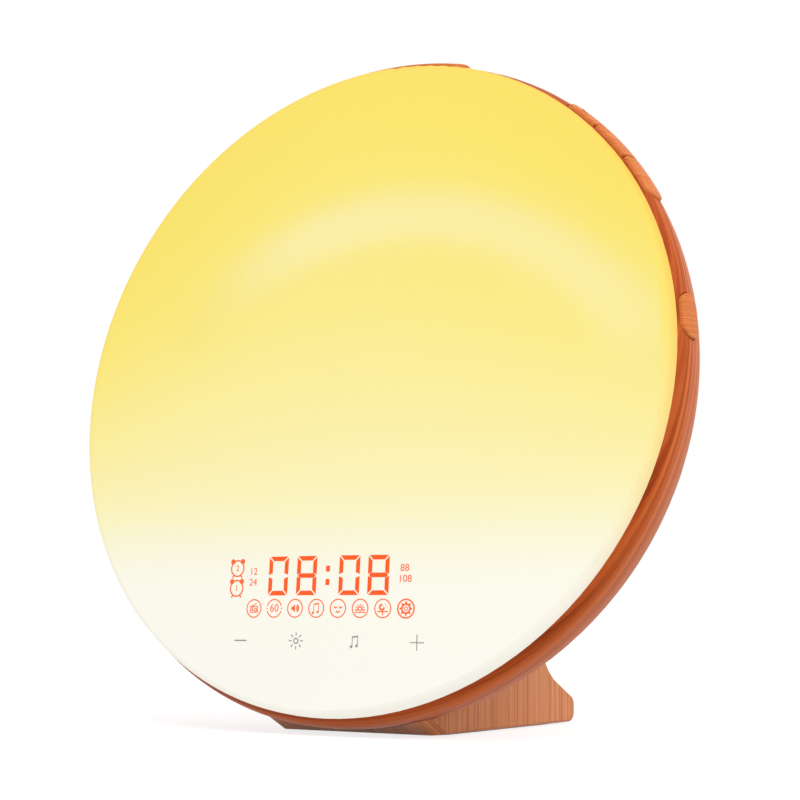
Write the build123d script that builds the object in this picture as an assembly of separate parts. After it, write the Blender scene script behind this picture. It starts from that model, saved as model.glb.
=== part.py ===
from build123d import *
import math
import os

# A round sunrise alarm clock: a milky domed lamp face in a bowl-shaped housing,
# leaning back on a hollow foot, with a display behind the face and keys on the rim.
#
# Row frame: X to the right, Y to the back, Z up, origin at the middle of the rubber
# sole's underside.  Head frame: X to the right, Y up the face, Z out of the face,
# origin at the middle of the diffuser's front edge.  Millimetres and degrees.

# ---- driving dimensions: head ----
face_radius = 100.8         # outside of the diffuser and of the rim's front edge
lip_width = 1.6             # front edge of the rim, under the diffuser's edge
rim_setback = 3.7           # the rim starts this far behind the diffuser's front edge
rim_bulge = 2.2             # how far the rim swells behind its front edge
rim_bulge_depth = 9.1       # depth at which the rim is widest
head_depth = 46.5           # diffuser's front edge to flat back
back_inset = 37.0           # from the rim's front edge in to the flat part of the back
back_wall = 2.4
lean = 8.5                  # the head leans back by this angle
face_lift = 4.5             # middle of the face above the table, less its radius
face_setback = 53.0         # middle of the face ahead of the foot's middle

# ---- driving dimensions: diffuser and reflector tray ----
diffuser_gap = 0.15
diffuser_wall = 2.0
diffuser_dome = 7.0
diffuser_edge = 2.2         # rounding of the diffuser's edge
diffuser_skirt = 5.2        # depth that its skirt reaches into the rim
skirt_thick = 1.8
tray_front = 2.4            # depth of the tray's flange
tray_thick = 1.5
tray_gap = 0.35
tray_flange_inset = 21.0    # to the inside of the flat flange
tray_floor_inset = 34.0
tray_slope = 1.3            # thickness across the sloping wall
tray_floor_depth = 22.0
tab_angles = (20.0, 60.0, 130.0, 200.0, 270.0, 330.0)
tab_inset = 7.5
tab_width = 8.0
tab_thick = 1.6
tab_length = 2.8            # below the front of the tray's flange
tab_root = 0.5              # depth of the tabs' upper end, inside the diffuser's wall
tab_barb = 0.8
light_board_gap = 4.0       # from its edge to the edge of the tray's floor
light_board_cut = 15.3      # from its flat lower edge down to the middle of the digits
board_thick = 1.6
light_led_size = 2.8
light_led_height = 0.8
light_rings = (1, 8, 16, 24)    # how many lamps sit on each ring
light_screw_ring = 2.5      # place of the board's screws, in ring pitches

# ---- driving dimensions: display ----
bay_half_width = 35.5       # inside of the tray's display bay
bay_above = 11.5            # heights above and below the middle of the digits
bay_below = 24.2
bay_floor_depth = 12.3
frame_half_width = 35.0
frame_above = 7.1
frame_below = 14.2
frame_front_depth = 0.6
frame_thick = 8.0
digit_width = 6.8
digit_height = 11.2
digit_stroke = 1.3
digit_gap = 0.3
digit_rise = 39.5           # middle of the digits above the lowest point of the face
digit_places = (-15.6, -5.7, 8.7, 18.2)
colon_place = 1.5
colon_rise = 1.9
icon_radius = 2.7
icon_drop = 9.3             # below the middle of the digits
icon_first = -23.8
icon_pitch = 7.3
icon_count = 8
alarm_mark_radius = 2.3
alarm_marks = ((-30.6, 2.4), (-30.6, -3.4))     # from the middle of the digits
word_marks = ((-24.5, 1.3), (-24.5, -1.8), (26.6, 1.9), (26.6, -1.1))
word_mark_width = 3.9
word_mark_height = 1.7
lens_gap = 0.05
touch_places = (-28.2, -8.4, 11.4, 31.0)
touch_drop = 18.5
touch_radius = 3.2
display_screws = ((-18.3, -21.1), (21.2, -21.1), (-31.0, 9.4), (31.0, 9.4))
display_boss_radius = 2.2
light_boss_radius = 2.6
led_half = 0.4
led_room = 1.4              # between the display board and the lit windows

# ---- driving dimensions: keys on the rim ----
key_front = 4.6             # depth of the keys' front edge
key_back = 12.6             # depth of their back edge
key_floor_rise = -0.4       # recess floor of a key, out from the rim's front edge
key_travel = 0.5
key_clearance = 0.3         # round a key
key_raise = 0.7             # a key stands this far out of the rim
snooze_raise = 1.5          # the snooze bar stands further out
key_round = 0.6
stem_size = 4.4
stem_depth = 8.6
stem_barb = 0.5
switch_size = 6.0
switch_height = 3.6
plunger_radius = 1.7
plunger_bore = 1.76
plunger_length = 3.2
plunger_proud = 1.4         # above the switch body
key_board_inset = 14.0      # to the inner face of the key boards
key_board_thick = 1.2
key_board_top = 4.6
key_board_bottom = 16.4
key_slot_grip = 1.5
rib_width = 3.4
snooze_angle = 90.0
snooze_length = 54.0
snooze_stems = (-14.0, 14.0)
strip_angle = 39.3
strip_lengths = (15.9, 14.2, 11.9)      # from the lowest key to the highest
strip_gap = 0.4
lamp_angle = 6.4
lamp_length = 13.0
key_end_round = 3.7
key_square_round = 1.2

# ---- driving dimensions: back of the head ----
case_screw_angles = (65.0, 115.0, 180.0, 235.0, 305.0, 345.0)
case_screw_inset = 12.0
case_post_radius = 4.4
case_post_top = 16.0
case_seat = 2.0
case_well_radius = 3.4
tray_boss_radius = 3.6
speaker_y = 20.0
speaker_radius = 26.0
speaker_screw_circle = 24.0
speaker_seat = 3.0
speaker_flange = 1.5
speaker_floor = 29.2        # depth of the frame's front plate
speaker_plate = 1.2
speaker_coil_radius = 5.6
speaker_gasket_radius = 20.2
speaker_tag = (10.0, -1.6)
speaker_tag_depth = 36.5
magnet_radius = 11.0
magnet_height = 4.6
cone_radius = 20.3
cone_neck_radius = 6.0
gasket_wall = 1.6
felt_thick = 0.4
grille_rings = 5
grille_pitch = 3.4
grille_hole = 1.0
jack_x = -40.0
jack_y = -14.0
jack_nose_radius = 4.0
jack_bore_radius = 3.15
jack_bore_depth = 9.5
jack_pin_radius = 1.0
jack_half_x = 4.5
jack_half_y = 5.8
usb_x = -40.0
usb_y = 4.4
usb_width = 13.2
usb_height = 5.8
usb_shell = 0.4
usb_tongue = 1.9
port_clearance = 0.15
cell_x = 34.0
cell_y = -8.0
cell_radius = 10.0
cell_height = 3.2
contact_half_width = 2.0
contact_half_length = 9.0
contact_thick = 0.4
contact_dome_radius = 2.4
door_radius = 11.6
door_thick = 1.4
door_gap = 0.3
door_plug_radius = 10.3
door_tab_radius = 11.3
door_tab_angle = 36.0
door_turn = 60.0
door_notch_spare = 8.0
door_tab_thick = 0.9
door_slot_half = 7.0
ledge_thick = 0.7
cup_radius = 11.7
cup_wall = 1.5
cup_top_depth = 36.6
main_board_depth = 30.0
main_board_x = 40.0
main_board_top = -10.0
main_board_rise = 30.8      # its lower edge above the lowest point of the face
board_tab_left = -48.0
board_tab_right = -33.0
board_tab_bottom = -24.0
board_tab_top = 27.0
board_post_rise = 5.0       # the two lower posts, above the board's lower edge
board_post_x = 35.0
upper_posts = ((36.0, -30.0), (-40.0, 21.0))
board_post_radius = 3.0
lead_radius = 0.8
lead_hole = 1.6
lead_plug_height = 3.0
lead_plug_half = 2.5
lead_end_gap = 0.3          # a slanting lead stops this far from its plug
key_lead_depth = 15.0       # depth at which the key leads leave their boards

# ---- driving dimensions: foot ----
foot_half_width = 27.5
foot_front = -46.5          # front bottom edge
foot_toe = 46.8             # back of the toe
foot_toe_height = 8.2
foot_toe_round = 3.2
foot_ramp_angle = 25.0
foot_ramp_run = 18.5
foot_toe_slope = 23.0
foot_sweep_start = 33.0
foot_sweep_radius = 22.0
foot_back_slope = 55.0
foot_root_inset = 9.0       # upper end of the foot, ahead of the head's flat back
foot_wall = 2.4
foot_bevel = 2.6
foot_edge_round = 1.2
foot_seat_gap = 0.1
foot_screw_x = 18.0
foot_screw_rises = (58.8, 38.8)     # above the lowest point of the face
foot_post_radius = 4.8
foot_post_height = 4.9
foot_boss_length = 9.0
cover_thick = 3.0
cover_gap = 0.2
cover_screw_x = 20.3
cover_screw_ys = (-27.0, 31.0)
cover_boss_radius = 3.2
sole_thick = 0.5
sole_half_width = 23.4
sole_half_length = 39.0
sole_round = 6.0
weight_half_width = 15.0
weight_front = -20.0
weight_back = 24.0
weight_height = 10.0
weight_rim = 1.2
weight_gap = 0.2

# ---- driving dimensions: screws (shank radius, pilot radius, head radius, head height) ----
big_screw = (1.5, 1.5, 2.8, 2.0)
small_screw = (1.1, 1.1, 2.0, 1.3)
screw_clearance = 0.2
cross_half_width = 0.3

# ---- worked out from the driving dimensions ----
face_height = face_radius + face_lift
back_radius = face_radius - back_inset
tray_flange_radius = face_radius - tray_flange_inset
tray_floor_radius = face_radius - tray_floor_inset
tab_radius = face_radius - tab_inset
light_board_radius = tray_floor_radius - light_board_gap
light_ring_pitch = (light_board_radius - 2 * light_board_gap) / (len(light_rings) - 1)
light_screw_offset = light_screw_ring * light_ring_pitch / math.sqrt(2)
digit_middle = digit_rise - face_radius
light_board_bottom = digit_middle + light_board_cut
bay_top = digit_middle + bay_above
bay_bottom = digit_middle - bay_below
frame_top = digit_middle + frame_above
frame_bottom = digit_middle - frame_below
icon_middle = digit_middle - icon_drop
touch_middle = digit_middle - touch_drop
display_screw_places = [(x, digit_middle + y) for x, y in display_screws]
key_floor_radius = face_radius + key_floor_rise
key_board_radius = face_radius - key_board_inset
case_screw_circle = face_radius - case_screw_inset
foot_screw_ys = [rise - face_radius for rise in foot_screw_rises]
main_board_bottom = main_board_rise - face_radius
lower_post_y = main_board_bottom + board_post_rise
board_post_places = [(-board_post_x, lower_post_y), (board_post_x, lower_post_y), *upper_posts]
display_lead_place = (5.0, digit_middle + 6.3)
light_lead_place = (-9.0, digit_middle + 34.3)
widest = face_radius + rim_bulge
mouth_radius = face_radius - lip_width
skirt_radius = mouth_radius - diffuser_gap
skirt_inside = skirt_radius - skirt_thick
bulge_run = rim_bulge_depth - rim_setback
rear_run = head_depth - rim_bulge_depth
inner_back = head_depth - back_wall
inner_run = inner_back - rim_bulge_depth
tray_back = tray_front + tray_thick
tray_outer = skirt_inside - tray_gap
floor_back = tray_floor_depth + tray_thick
frame_back_depth = frame_front_depth + frame_thick
display_board_back = frame_back_depth + board_thick
main_board_back = main_board_depth + board_thick
switch_top = key_board_radius + key_board_thick + switch_height
stem_foot = switch_top + plunger_proud
key_underside = key_floor_radius + key_travel + 0.2
big_screw_hole = big_screw[0] + screw_clearance
small_screw_hole = small_screw[0] + screw_clearance
cover_top = sole_thick + cover_thick
pad_floor = head_depth + foot_seat_gap

head = Pos(0, -face_setback, face_height) * Rot(90 - lean, 0, 0)


# ---- small helpers ----
def block(low, high):
    size = [b - a for a, b in zip(low, high)]
    middle = [(a + b) / 2 for a, b in zip(low, high)]
    return Pos(*middle) * Box(*size)


def rod(x, y, z_low, z_high, radius):
    return Pos(x, y, (z_low + z_high) / 2) * Cylinder(radius, z_high - z_low)


def turned(edges):
    return revolve(Plane.XZ * make_face(edges), Axis.Z)


def around(angle, shape):
    return Rot(0, 0, angle) * shape


def screw(kind, length):
    """A pan-head screw with its seat at the origin and its shank down -Z."""
    shank, pilot, head_radius, head_height = kind
    body = rod(0, 0, 0, head_height, head_radius)
    body = chamfer(body.faces().sort_by(Axis.Z)[-1].edges(), head_height / 4)
    reach = head_radius * 0.6
    cross = block((-reach, -cross_half_width, head_height / 2), (reach, cross_half_width, head_height * 2))
    body -= cross + Rot(0, 0, 90) * cross
    return body + rod(0, 0, -length, 0, shank)


def facing_back(x, y, depth):
    """Places a screw whose head is at the front and whose shank runs to the back."""
    return Pos(x, y, -depth)


def facing_front(x, y, depth):
    return Pos(x, y, -depth) * Rot(180, 0, 0)


def on_circle(radius, angle):
    turn = math.radians(angle)
    return radius * math.cos(turn), radius * math.sin(turn)


def save(name, shape):
    export_step(shape, f"parts/{name}.step")


def save_in_head(name, shape):
    save(name, head * shape)


# ---- the bowl ----
def bowl(grow=0.0):
    """Everything inside the head's outer surface, grown by a gap."""
    curve_radius = (rim_bulge ** 2 + bulge_run ** 2) / (2 * rim_bulge)
    sweep = math.degrees(math.asin(bulge_run / curve_radius))
    front = CenterArc((widest - curve_radius, -rim_bulge_depth), curve_radius + grow, 0, sweep)
    rear = EllipticalCenterArc((back_radius, -rim_bulge_depth), widest - back_radius + grow,
                               rear_run + grow, start_angle=270, arc_size=90)
    edges = [
        Line((0, (front @ 1).Y), front @ 1),
        front,
        rear,
        Line((back_radius, -head_depth - grow), (0, -head_depth - grow)),
        Line((0, -head_depth - grow), (0, (front @ 1).Y)),
    ]
    return turned(edges)


def bowl_inside():
    above = 5.0
    rear = EllipticalCenterArc((back_radius, -rim_bulge_depth), mouth_radius - back_radius,
                               inner_run, start_angle=270, arc_size=90)
    edges = [
        Line((0, above), (mouth_radius, above)),
        Line((mouth_radius, above), (mouth_radius, -rim_bulge_depth)),
        rear,
        Line((back_radius, -inner_back), (0, -inner_back)),
        Line((0, -inner_back), (0, above)),
    ]
    return turned(edges)


def inner_radius(depth):
    drop = max(0.0, depth - rim_bulge_depth) / inner_run
    return back_radius + (mouth_radius - back_radius) * math.sqrt(1 - drop ** 2)


def rim_radius(depth):
    if depth < rim_bulge_depth:
        return widest - rim_bulge * ((rim_bulge_depth - depth) / bulge_run) ** 2
    drop = (depth - rim_bulge_depth) / rear_run
    return back_radius + (widest - back_radius) * math.sqrt(1 - drop ** 2)


# ---- keys ----
def key_plan(low, high, low_round, high_round, grow=0.0):
    """A key's outline as a prism along +X: low and high are its ends along Y."""
    width = key_back - key_front + 2 * grow
    outline = Pos((low + high) / 2, -(key_front + key_back) / 2) * Rectangle(high - low + 2 * grow, width)
    ends = outline.vertices().group_by(Axis.X)
    outline = fillet(ends[0], low_round + grow)
    outline = fillet(outline.vertices().group_by(Axis.X)[-1], high_round + grow)
    reach = 30.0
    return extrude(Plane.YZ.offset(key_board_radius) * outline, reach)


def key_band(bottom, rise):
    """Ring between a floor radius and the keys' outer surface, following the rim."""
    middle = (key_front + key_back) / 2
    top_front = rim_radius(key_front) + rise * 0.6
    top_middle = rim_radius(middle) + rise
    top_back = rim_radius(key_back) + rise
    arc = ThreePointArc((top_front, -key_front + 1), (top_middle, -middle), (top_back, -key_back - 1))
    edges = [
        Line((bottom, -key_front + 1), arc @ 0),
        arc,
        Line(arc @ 1, (bottom, -key_back - 1)),
        Line((bottom, -key_back - 1), (bottom, -key_front + 1)),
    ]
    return turned(edges)


def key_cap(low, high, low_round, high_round, rise):
    cap = key_plan(low, high, low_round, high_round) & key_band(key_underside, rise)
    top = cap.faces().sort_by(Axis.X)[-1]
    return fillet(top.edges(), key_round)


def key_stem(y):
    half = stem_size / 2
    stem = block((stem_foot, y - half, -stem_depth - half),
                 (key_underside + 1.0, y + half, -stem_depth + half))
    wall = inner_radius(stem_depth + half + stem_barb)
    barb_top = math.sqrt(wall ** 2 - (abs(y) + half) ** 2) - key_clearance
    for side in (-1, 1):
        barb = block((barb_top - 1.2, y - half, -stem_depth + side * half - stem_barb),
                     (barb_top, y + half, -stem_depth + side * half + stem_barb))
        stem += barb
    return stem


def key(low, high, low_round, high_round, stems, rise=key_raise):
    solid = key_cap(low, high, low_round, high_round, rise)
    for y in stems:
        solid += key_stem(y)
    return solid


def plungers(stems):
    shape = Part()
    for y in stems:
        shape += Pos(stem_foot - plunger_length / 2, y, -stem_depth) * Rot(0, 90, 0) * Cylinder(
            plunger_radius, plunger_length)
    return shape


def switches(stems):
    shape = Part()
    base = key_board_radius + key_board_thick
    half = switch_size / 2
    for y in stems:
        body = block((base, y - half, -stem_depth - half), (switch_top, y + half, -stem_depth + half))
        body -= Pos(switch_top, y, -stem_depth) * Rot(0, 90, 0) * Cylinder(
            plunger_bore, 2 * (switch_height - 0.8))
        shape += body
    return shape


def key_board(half_length):
    return block((key_board_radius, -half_length, -key_board_bottom),
                 (key_board_radius + key_board_thick, half_length, -key_board_top))


def key_ribs(half_length):
    """Two slotted ribs that a key board slides into."""
    shape = Part()
    grip = 0.05
    for side in (-1, 1):
        inner = side * (half_length - key_slot_grip)
        outer = side * (half_length - key_slot_grip + rib_width)
        rib = block((key_board_radius - 2.0, min(inner, outer), -head_depth),
                    (key_board_radius + key_board_thick + 1.6, max(inner, outer), -key_board_top))
        end = side * (half_length + grip)
        slot = block((key_board_radius - grip, min(inner - side, end), -key_board_bottom),
                     (key_board_radius + key_board_thick + grip, max(inner - side, end), 0))
        shape += rib - slot
    return shape


def key_opening(low, high, low_round, high_round, stems):
    """The recess round a key and the holes for its stems."""
    outline = key_plan(low, high, low_round, high_round, key_clearance)
    core = rod(0, 0, -head_depth, 10.0, key_floor_radius)
    shape = outline - core
    half = stem_size / 2 + key_clearance
    for y in stems:
        shape += block((mouth_radius - 4.0, y - half, -stem_depth - half),
                       (widest + 1.0, y + half, -stem_depth + half))
    return shape


strip_total = sum(strip_lengths) + 2 * strip_gap
strip_ends = []
strip_edge = -strip_total / 2
for strip_length in strip_lengths:
    strip_ends.append((strip_edge, strip_edge + strip_length))
    strip_edge += strip_length + strip_gap
strip_stems = [(low + high) / 2 for low, high in strip_ends]
snooze_ends = (-snooze_length / 2, snooze_length / 2)
lamp_ends = (-lamp_length / 2, lamp_length / 2)
snooze_board_half = snooze_stems[1] + 5.0
strip_board_half = strip_stems[2] + 6.0
lamp_board_half = 7.0
key_groups = (
    (snooze_angle, snooze_ends, (key_end_round, key_end_round), snooze_stems, snooze_board_half),
    (strip_angle, (-strip_total / 2, strip_total / 2), (key_end_round, key_square_round), strip_stems,
     strip_board_half),
    (lamp_angle, lamp_ends, (key_end_round, key_end_round), (0.0,), lamp_board_half),
)


def save_keys():
    snooze = key(*snooze_ends, key_end_round, key_end_round, snooze_stems, snooze_raise)
    save_in_head("snooze_bar", around(snooze_angle, snooze))
    save_in_head("snooze_plungers", around(snooze_angle, plungers(snooze_stems)))
    names = ("radio", "alarm_one", "alarm_two")
    square = 0.9
    rounds = ((key_end_round, square), (square, square), (square, key_square_round))
    for name, ends, corners, stem in zip(names, strip_ends, rounds, strip_stems):
        save_in_head(f"{name}_key", around(strip_angle, key(*ends, *corners, (stem,))))
        save_in_head(f"{name}_plunger", around(strip_angle, plungers((stem,))))
    lamp = key(*lamp_ends, key_end_round, key_end_round, (0.0,))
    save_in_head("lamp_key", around(lamp_angle, lamp))
    save_in_head("lamp_plunger", around(lamp_angle, plungers((0.0,))))

    bodies = Part()
    for angle, ends, corners, stems, half_length in key_groups:
        bodies += around(angle, switches(stems))
    save_in_head("key_switches", bodies)
    for name, group in zip(("snooze_key_board", "strip_key_board", "lamp_key_board"), key_groups):
        save_in_head(name, around(group[0], key_board(group[4])))


# ---- rear housing ----
def grille_holes():
    holes = [rod(0, speaker_y, -head_depth - 1, -inner_back + 1, grille_hole)]
    for ring in range(1, grille_rings + 1):
        for step in range(6 * ring):
            x, y = on_circle(ring * grille_pitch, 60.0 * step / ring)
            holes.append(rod(x, speaker_y + y, -head_depth - 1, -inner_back + 1, grille_hole))
    return holes


def speaker_screw_places():
    places = []
    for angle in (45, 135, 225, 315):
        x, y = on_circle(speaker_screw_circle, angle)
        places.append((x, speaker_y + y))
    return places


def door_sector(radius, angle, width, z_low, z_high):
    """Two opposite sectors of a disc, for the battery door's tabs and notches."""
    disc = rod(0, 0, z_low, z_high, radius)
    half = radius * math.sin(math.radians(width / 2))
    bar = block((-radius, -half, z_low), (radius, half, z_high))
    return Rot(0, 0, angle) * (disc & bar)


def rear_housing():
    outer = bowl()
    posts = Part()
    for angle in case_screw_angles:
        x, y = on_circle(case_screw_circle, angle)
        posts += rod(x, y, -head_depth, -case_post_top, case_post_radius)
    for x, y in board_post_places:
        posts += rod(x, y, -head_depth, -main_board_back, board_post_radius)
    for x, y in speaker_screw_places():
        posts += rod(x, y, -head_depth, -inner_back + speaker_seat, board_post_radius)
    for angle, ends, corners, stems, half_length in key_groups:
        posts += around(angle, key_ribs(half_length))
    cup_top = -cup_top_depth + cup_wall
    posts += rod(cell_x, cell_y, -head_depth, cup_top, cup_radius + cup_wall)
    shape = outer - bowl_inside()
    shape += posts & outer
    pad_top = -head_depth + foot_post_height
    for y in foot_screw_ys:
        for x in (-foot_screw_x, foot_screw_x):
            shape += rod(x, y, -head_depth, pad_top, foot_post_radius)

    # screw holes
    for angle in case_screw_angles:
        x, y = on_circle(case_screw_circle, angle)
        shape -= rod(x, y, -head_depth - 1, -case_post_top - case_seat, case_well_radius)
        shape -= rod(x, y, -head_depth, -case_post_top + 1, big_screw_hole)
    for x, y in board_post_places:
        shape -= rod(x, y, -main_board_back - 6.0, -main_board_back + 1, small_screw[1])
    for x, y in speaker_screw_places():
        shape -= rod(x, y, -inner_back - 1.0, -inner_back + speaker_seat + 1, small_screw[1])
    for y in foot_screw_ys:
        for x in (-foot_screw_x, foot_screw_x):
            shape -= rod(x, y, -head_depth - 1, pad_top + 1, big_screw_hole)

    # battery well and the door's seat
    ledge_back = -inner_back - ledge_thick
    cell_place = Pos(cell_x, cell_y, 0)
    shape -= cell_place * rod(0, 0, -inner_back, -cup_top_depth, cup_radius)
    shape -= cell_place * rod(0, 0, -head_depth - 1, ledge_back, door_radius + door_gap)
    shape -= cell_place * rod(0, 0, -head_depth - 1, -inner_back + 1, door_plug_radius + door_gap)
    notch = door_sector(door_tab_radius + door_gap, door_turn, door_tab_angle + door_notch_spare,
                        -head_depth, -inner_back + 1)
    shape -= cell_place * notch

    # ports, grille and keys
    shape -= rod(jack_x, jack_y, -head_depth - 1, -inner_back + 1, jack_nose_radius + port_clearance)
    usb_half_x = usb_height / 2 + port_clearance
    usb_half_y = usb_width / 2 + port_clearance
    shape -= block((usb_x - usb_half_x, usb_y - usb_half_y, -head_depth - 1),
                   (usb_x + usb_half_x, usb_y + usb_half_y, -inner_back + 1))
    shape -= grille_holes()
    for angle, ends, corners, stems, half_length in key_groups:
        shape -= around(angle, key_opening(*ends, *corners, stems))
    return shape


# ---- diffuser and reflector tray ----
def diffuser():
    ball = (face_radius ** 2 + diffuser_dome ** 2) / (2 * diffuser_dome)

    def dome(radius, drop):
        return diffuser_dome - drop - ball + math.sqrt(ball ** 2 - radius ** 2)

    half = face_radius / 2
    outer = ThreePointArc((0, diffuser_dome), (half, dome(half, 0)), (face_radius, 0))
    inner = ThreePointArc((skirt_inside, dome(skirt_inside, diffuser_wall)),
                          (half, dome(half, diffuser_wall)), (0, diffuser_dome - diffuser_wall))
    section = make_face([
        outer,
        Line((face_radius, 0), (face_radius, -rim_setback)),
        Line((face_radius, -rim_setback), (skirt_radius, -rim_setback)),
        Line((skirt_radius, -rim_setback), (skirt_radius, -diffuser_skirt)),
        Line((skirt_radius, -diffuser_skirt), (skirt_inside, -diffuser_skirt)),
        Line((skirt_inside, -diffuser_skirt), inner @ 0),
        inner,
        Line((0, diffuser_dome - diffuser_wall), (0, diffuser_dome)),
    ])
    corner = section.vertices().sort_by_distance((face_radius, 0))[0]
    shell = revolve(Plane.XZ * fillet(corner, diffuser_edge), Axis.Z)
    low = -tray_front - tab_length
    for angle in tab_angles:
        tab = block((tab_radius, -tab_width / 2, low), (tab_radius + tab_thick, tab_width / 2, -tab_root))
        tab += block((tab_radius - tab_barb, -tab_width / 2, low),
                     (tab_radius, tab_width / 2, -tray_back - 0.1))
        shell += around(angle, tab)
    return shell


def reflector_tray():
    section = make_face(Polyline(
        (0, -tray_floor_depth),
        (tray_floor_radius, -tray_floor_depth),
        (tray_flange_radius, -tray_front),
        (tray_outer, -tray_front),
        (tray_outer, -tray_back),
        (tray_flange_radius + tray_slope, -tray_back),
        (tray_floor_radius + tray_slope, -floor_back),
        (0, -floor_back),
        close=True))
    shape = revolve(Plane.XZ * section, Axis.Z)
    bay_outer = bay_half_width + tray_thick
    shape += block((-bay_outer, bay_bottom - tray_thick, -bay_floor_depth - tray_thick),
                   (bay_outer, bay_top + tray_thick, -tray_front))
    for angle in case_screw_angles:
        x, y = on_circle(case_screw_circle, angle)
        shape += rod(x, y, -case_post_top, -tray_front - 0.5, tray_boss_radius)
    shape -= block((-bay_half_width, bay_bottom, -bay_floor_depth), (bay_half_width, bay_top, 5.0))
    for x, y in display_screw_places:
        shape += rod(x, y, -bay_floor_depth - 3.5, -display_board_back, display_boss_radius)
        shape -= rod(x, y, -bay_floor_depth - 3.0, -display_board_back + 1, small_screw[1])
    for x in (-light_screw_offset, light_screw_offset):
        for y in (-light_screw_offset, light_screw_offset):
            shape += rod(x, y, -floor_back - 3.5, -floor_back, light_boss_radius)
            shape -= rod(x, y, -floor_back - 3.0, -tray_floor_depth + 1, small_screw[1])
    for angle in case_screw_angles:
        x, y = on_circle(case_screw_circle, angle)
        shape -= rod(x, y, -case_post_top - 1, -tray_back - 1.0, big_screw[1])
    gap = 0.25
    for angle in tab_angles:
        slot = block((tab_radius - tab_barb - gap, -tab_width / 2 - gap, -tray_back - 1),
                     (tab_radius + tab_thick + gap, tab_width / 2 + gap, -tray_front + 1))
        shape -= around(angle, slot)
    shape -= rod(*light_lead_place, -floor_back - 1, -tray_floor_depth + 1, lead_hole)
    shape -= rod(*display_lead_place, -floor_back - 1, -bay_floor_depth + 1, lead_hole)
    return shape


# ---- light board ----
def light_led_places():
    places = []
    for ring, count in enumerate(light_rings):
        for step in range(count):
            x, y = on_circle(ring * light_ring_pitch, 360.0 * step / count)
            if y > light_board_bottom + light_led_size:
                places.append((x, y))
    return places


def light_board():
    shape = rod(0, 0, -tray_floor_depth, -tray_floor_depth + board_thick, light_board_radius)
    shape -= block((-light_board_radius, -light_board_radius - 1, -tray_floor_depth - 1),
                   (light_board_radius, light_board_bottom, 0))
    for x in (-light_screw_offset, light_screw_offset):
        for y in (-light_screw_offset, light_screw_offset):
            shape -= rod(x, y, -tray_floor_depth - 1, -tray_floor_depth + board_thick + 1, small_screw_hole)
    return shape


def light_leds():
    base = -tray_floor_depth + board_thick
    half = light_led_size / 2
    leds = [block((x - half, y - half, base), (x + half, y + half, base + light_led_height))
            for x, y in light_led_places()]
    return Compound(children=leds)


# ---- display ----
def segment_outlines():
    """The seven strokes of a digit and the two dots of a colon, as lists of points."""
    across = digit_width / 2
    up = digit_height / 2
    stroke = digit_stroke
    gap = digit_gap / 2
    top = [(-across + 2 * gap, up), (across - 2 * gap, up),
           (across - stroke - 2 * gap, up - stroke), (-across + stroke + 2 * gap, up - stroke)]
    side = [(across, up - 2 * gap), (across, 2 * gap),
            (across - stroke, stroke / 2 + gap), (across - stroke, up - stroke - 2 * gap)]
    middle = [(-across + 2 * gap + stroke / 2, stroke / 2), (across - 2 * gap - stroke / 2, stroke / 2),
              (across - 2 * gap, 0), (across - 2 * gap - stroke / 2, -stroke / 2),
              (-across + 2 * gap + stroke / 2, -stroke / 2), (-across + 2 * gap, 0)]
    flip_y = [(x, -y) for x, y in top]
    lower = [(x, -y) for x, y in side]
    strokes = [top, flip_y, side, lower, [(-x, y) for x, y in side], [(-x, y) for x, y in lower], middle]
    dot = digit_stroke / 2
    tall = 0.85
    dots = [[(-dot, y - tall), (dot, y - tall), (dot, y + tall), (-dot, y + tall)]
            for y in (-colon_rise, colon_rise)]
    return strokes, dots


def display_openings(shrink=0.0):
    """Flat faces of every lit window in the display frame."""
    strokes, dots = segment_outlines()
    faces = []
    for place in digit_places:
        for points in strokes:
            faces.append(Pos(place, digit_middle) * make_face(Polyline(*points, close=True)))
    for points in dots:
        faces.append(Pos(colon_place, digit_middle) * make_face(Polyline(*points, close=True)))
    for step in range(icon_count):
        faces.append(Pos(icon_first + step * icon_pitch, icon_middle) * Circle(icon_radius))
    for x, y in alarm_marks:
        faces.append(Pos(x, digit_middle + y) * Circle(alarm_mark_radius))
    for x, y in word_marks:
        faces.append(Pos(x, digit_middle + y) * Rectangle(word_mark_width, word_mark_height))
    if shrink:
        faces = [offset(face, -shrink) for face in faces]
    return faces


def display_frame():
    shape = block((-frame_half_width, frame_bottom, -frame_back_depth),
                  (frame_half_width, frame_top, -frame_front_depth))
    openings = [extrude(Pos(0, 0, -frame_back_depth - 1) * face, frame_thick + 2)
                for face in display_openings()]
    return shape - openings


def segment_lenses():
    lenses = [extrude(Pos(0, 0, -frame_back_depth + led_room) * face, frame_thick - led_room)
              for face in display_openings(lens_gap)]
    return Compound(children=lenses)


def window_middles():
    middles = []
    for face in display_openings():
        centre = face.center()
        middles.append((centre.X, centre.Y))
    return middles


def display_leds():
    top = -frame_back_depth + led_room / 2
    leds = [block((x - led_half, y - led_half, -frame_back_depth), (x + led_half, y + led_half, top))
            for x, y in window_middles()]
    return Compound(children=leds)


def display_board():
    edge = 0.3
    shape = block((-bay_half_width + edge, bay_bottom + edge, -display_board_back),
                  (bay_half_width - edge, bay_top - edge, -frame_back_depth))
    for x, y in display_screw_places:
        shape -= rod(x, y, -display_board_back - 1, -frame_back_depth + 1, small_screw_hole)
    return shape


def touch_pads():
    pads = [rod(x, touch_middle, -frame_back_depth, -frame_front_depth - 0.3, touch_radius)
            for x in touch_places]
    return Compound(children=pads)


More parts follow.
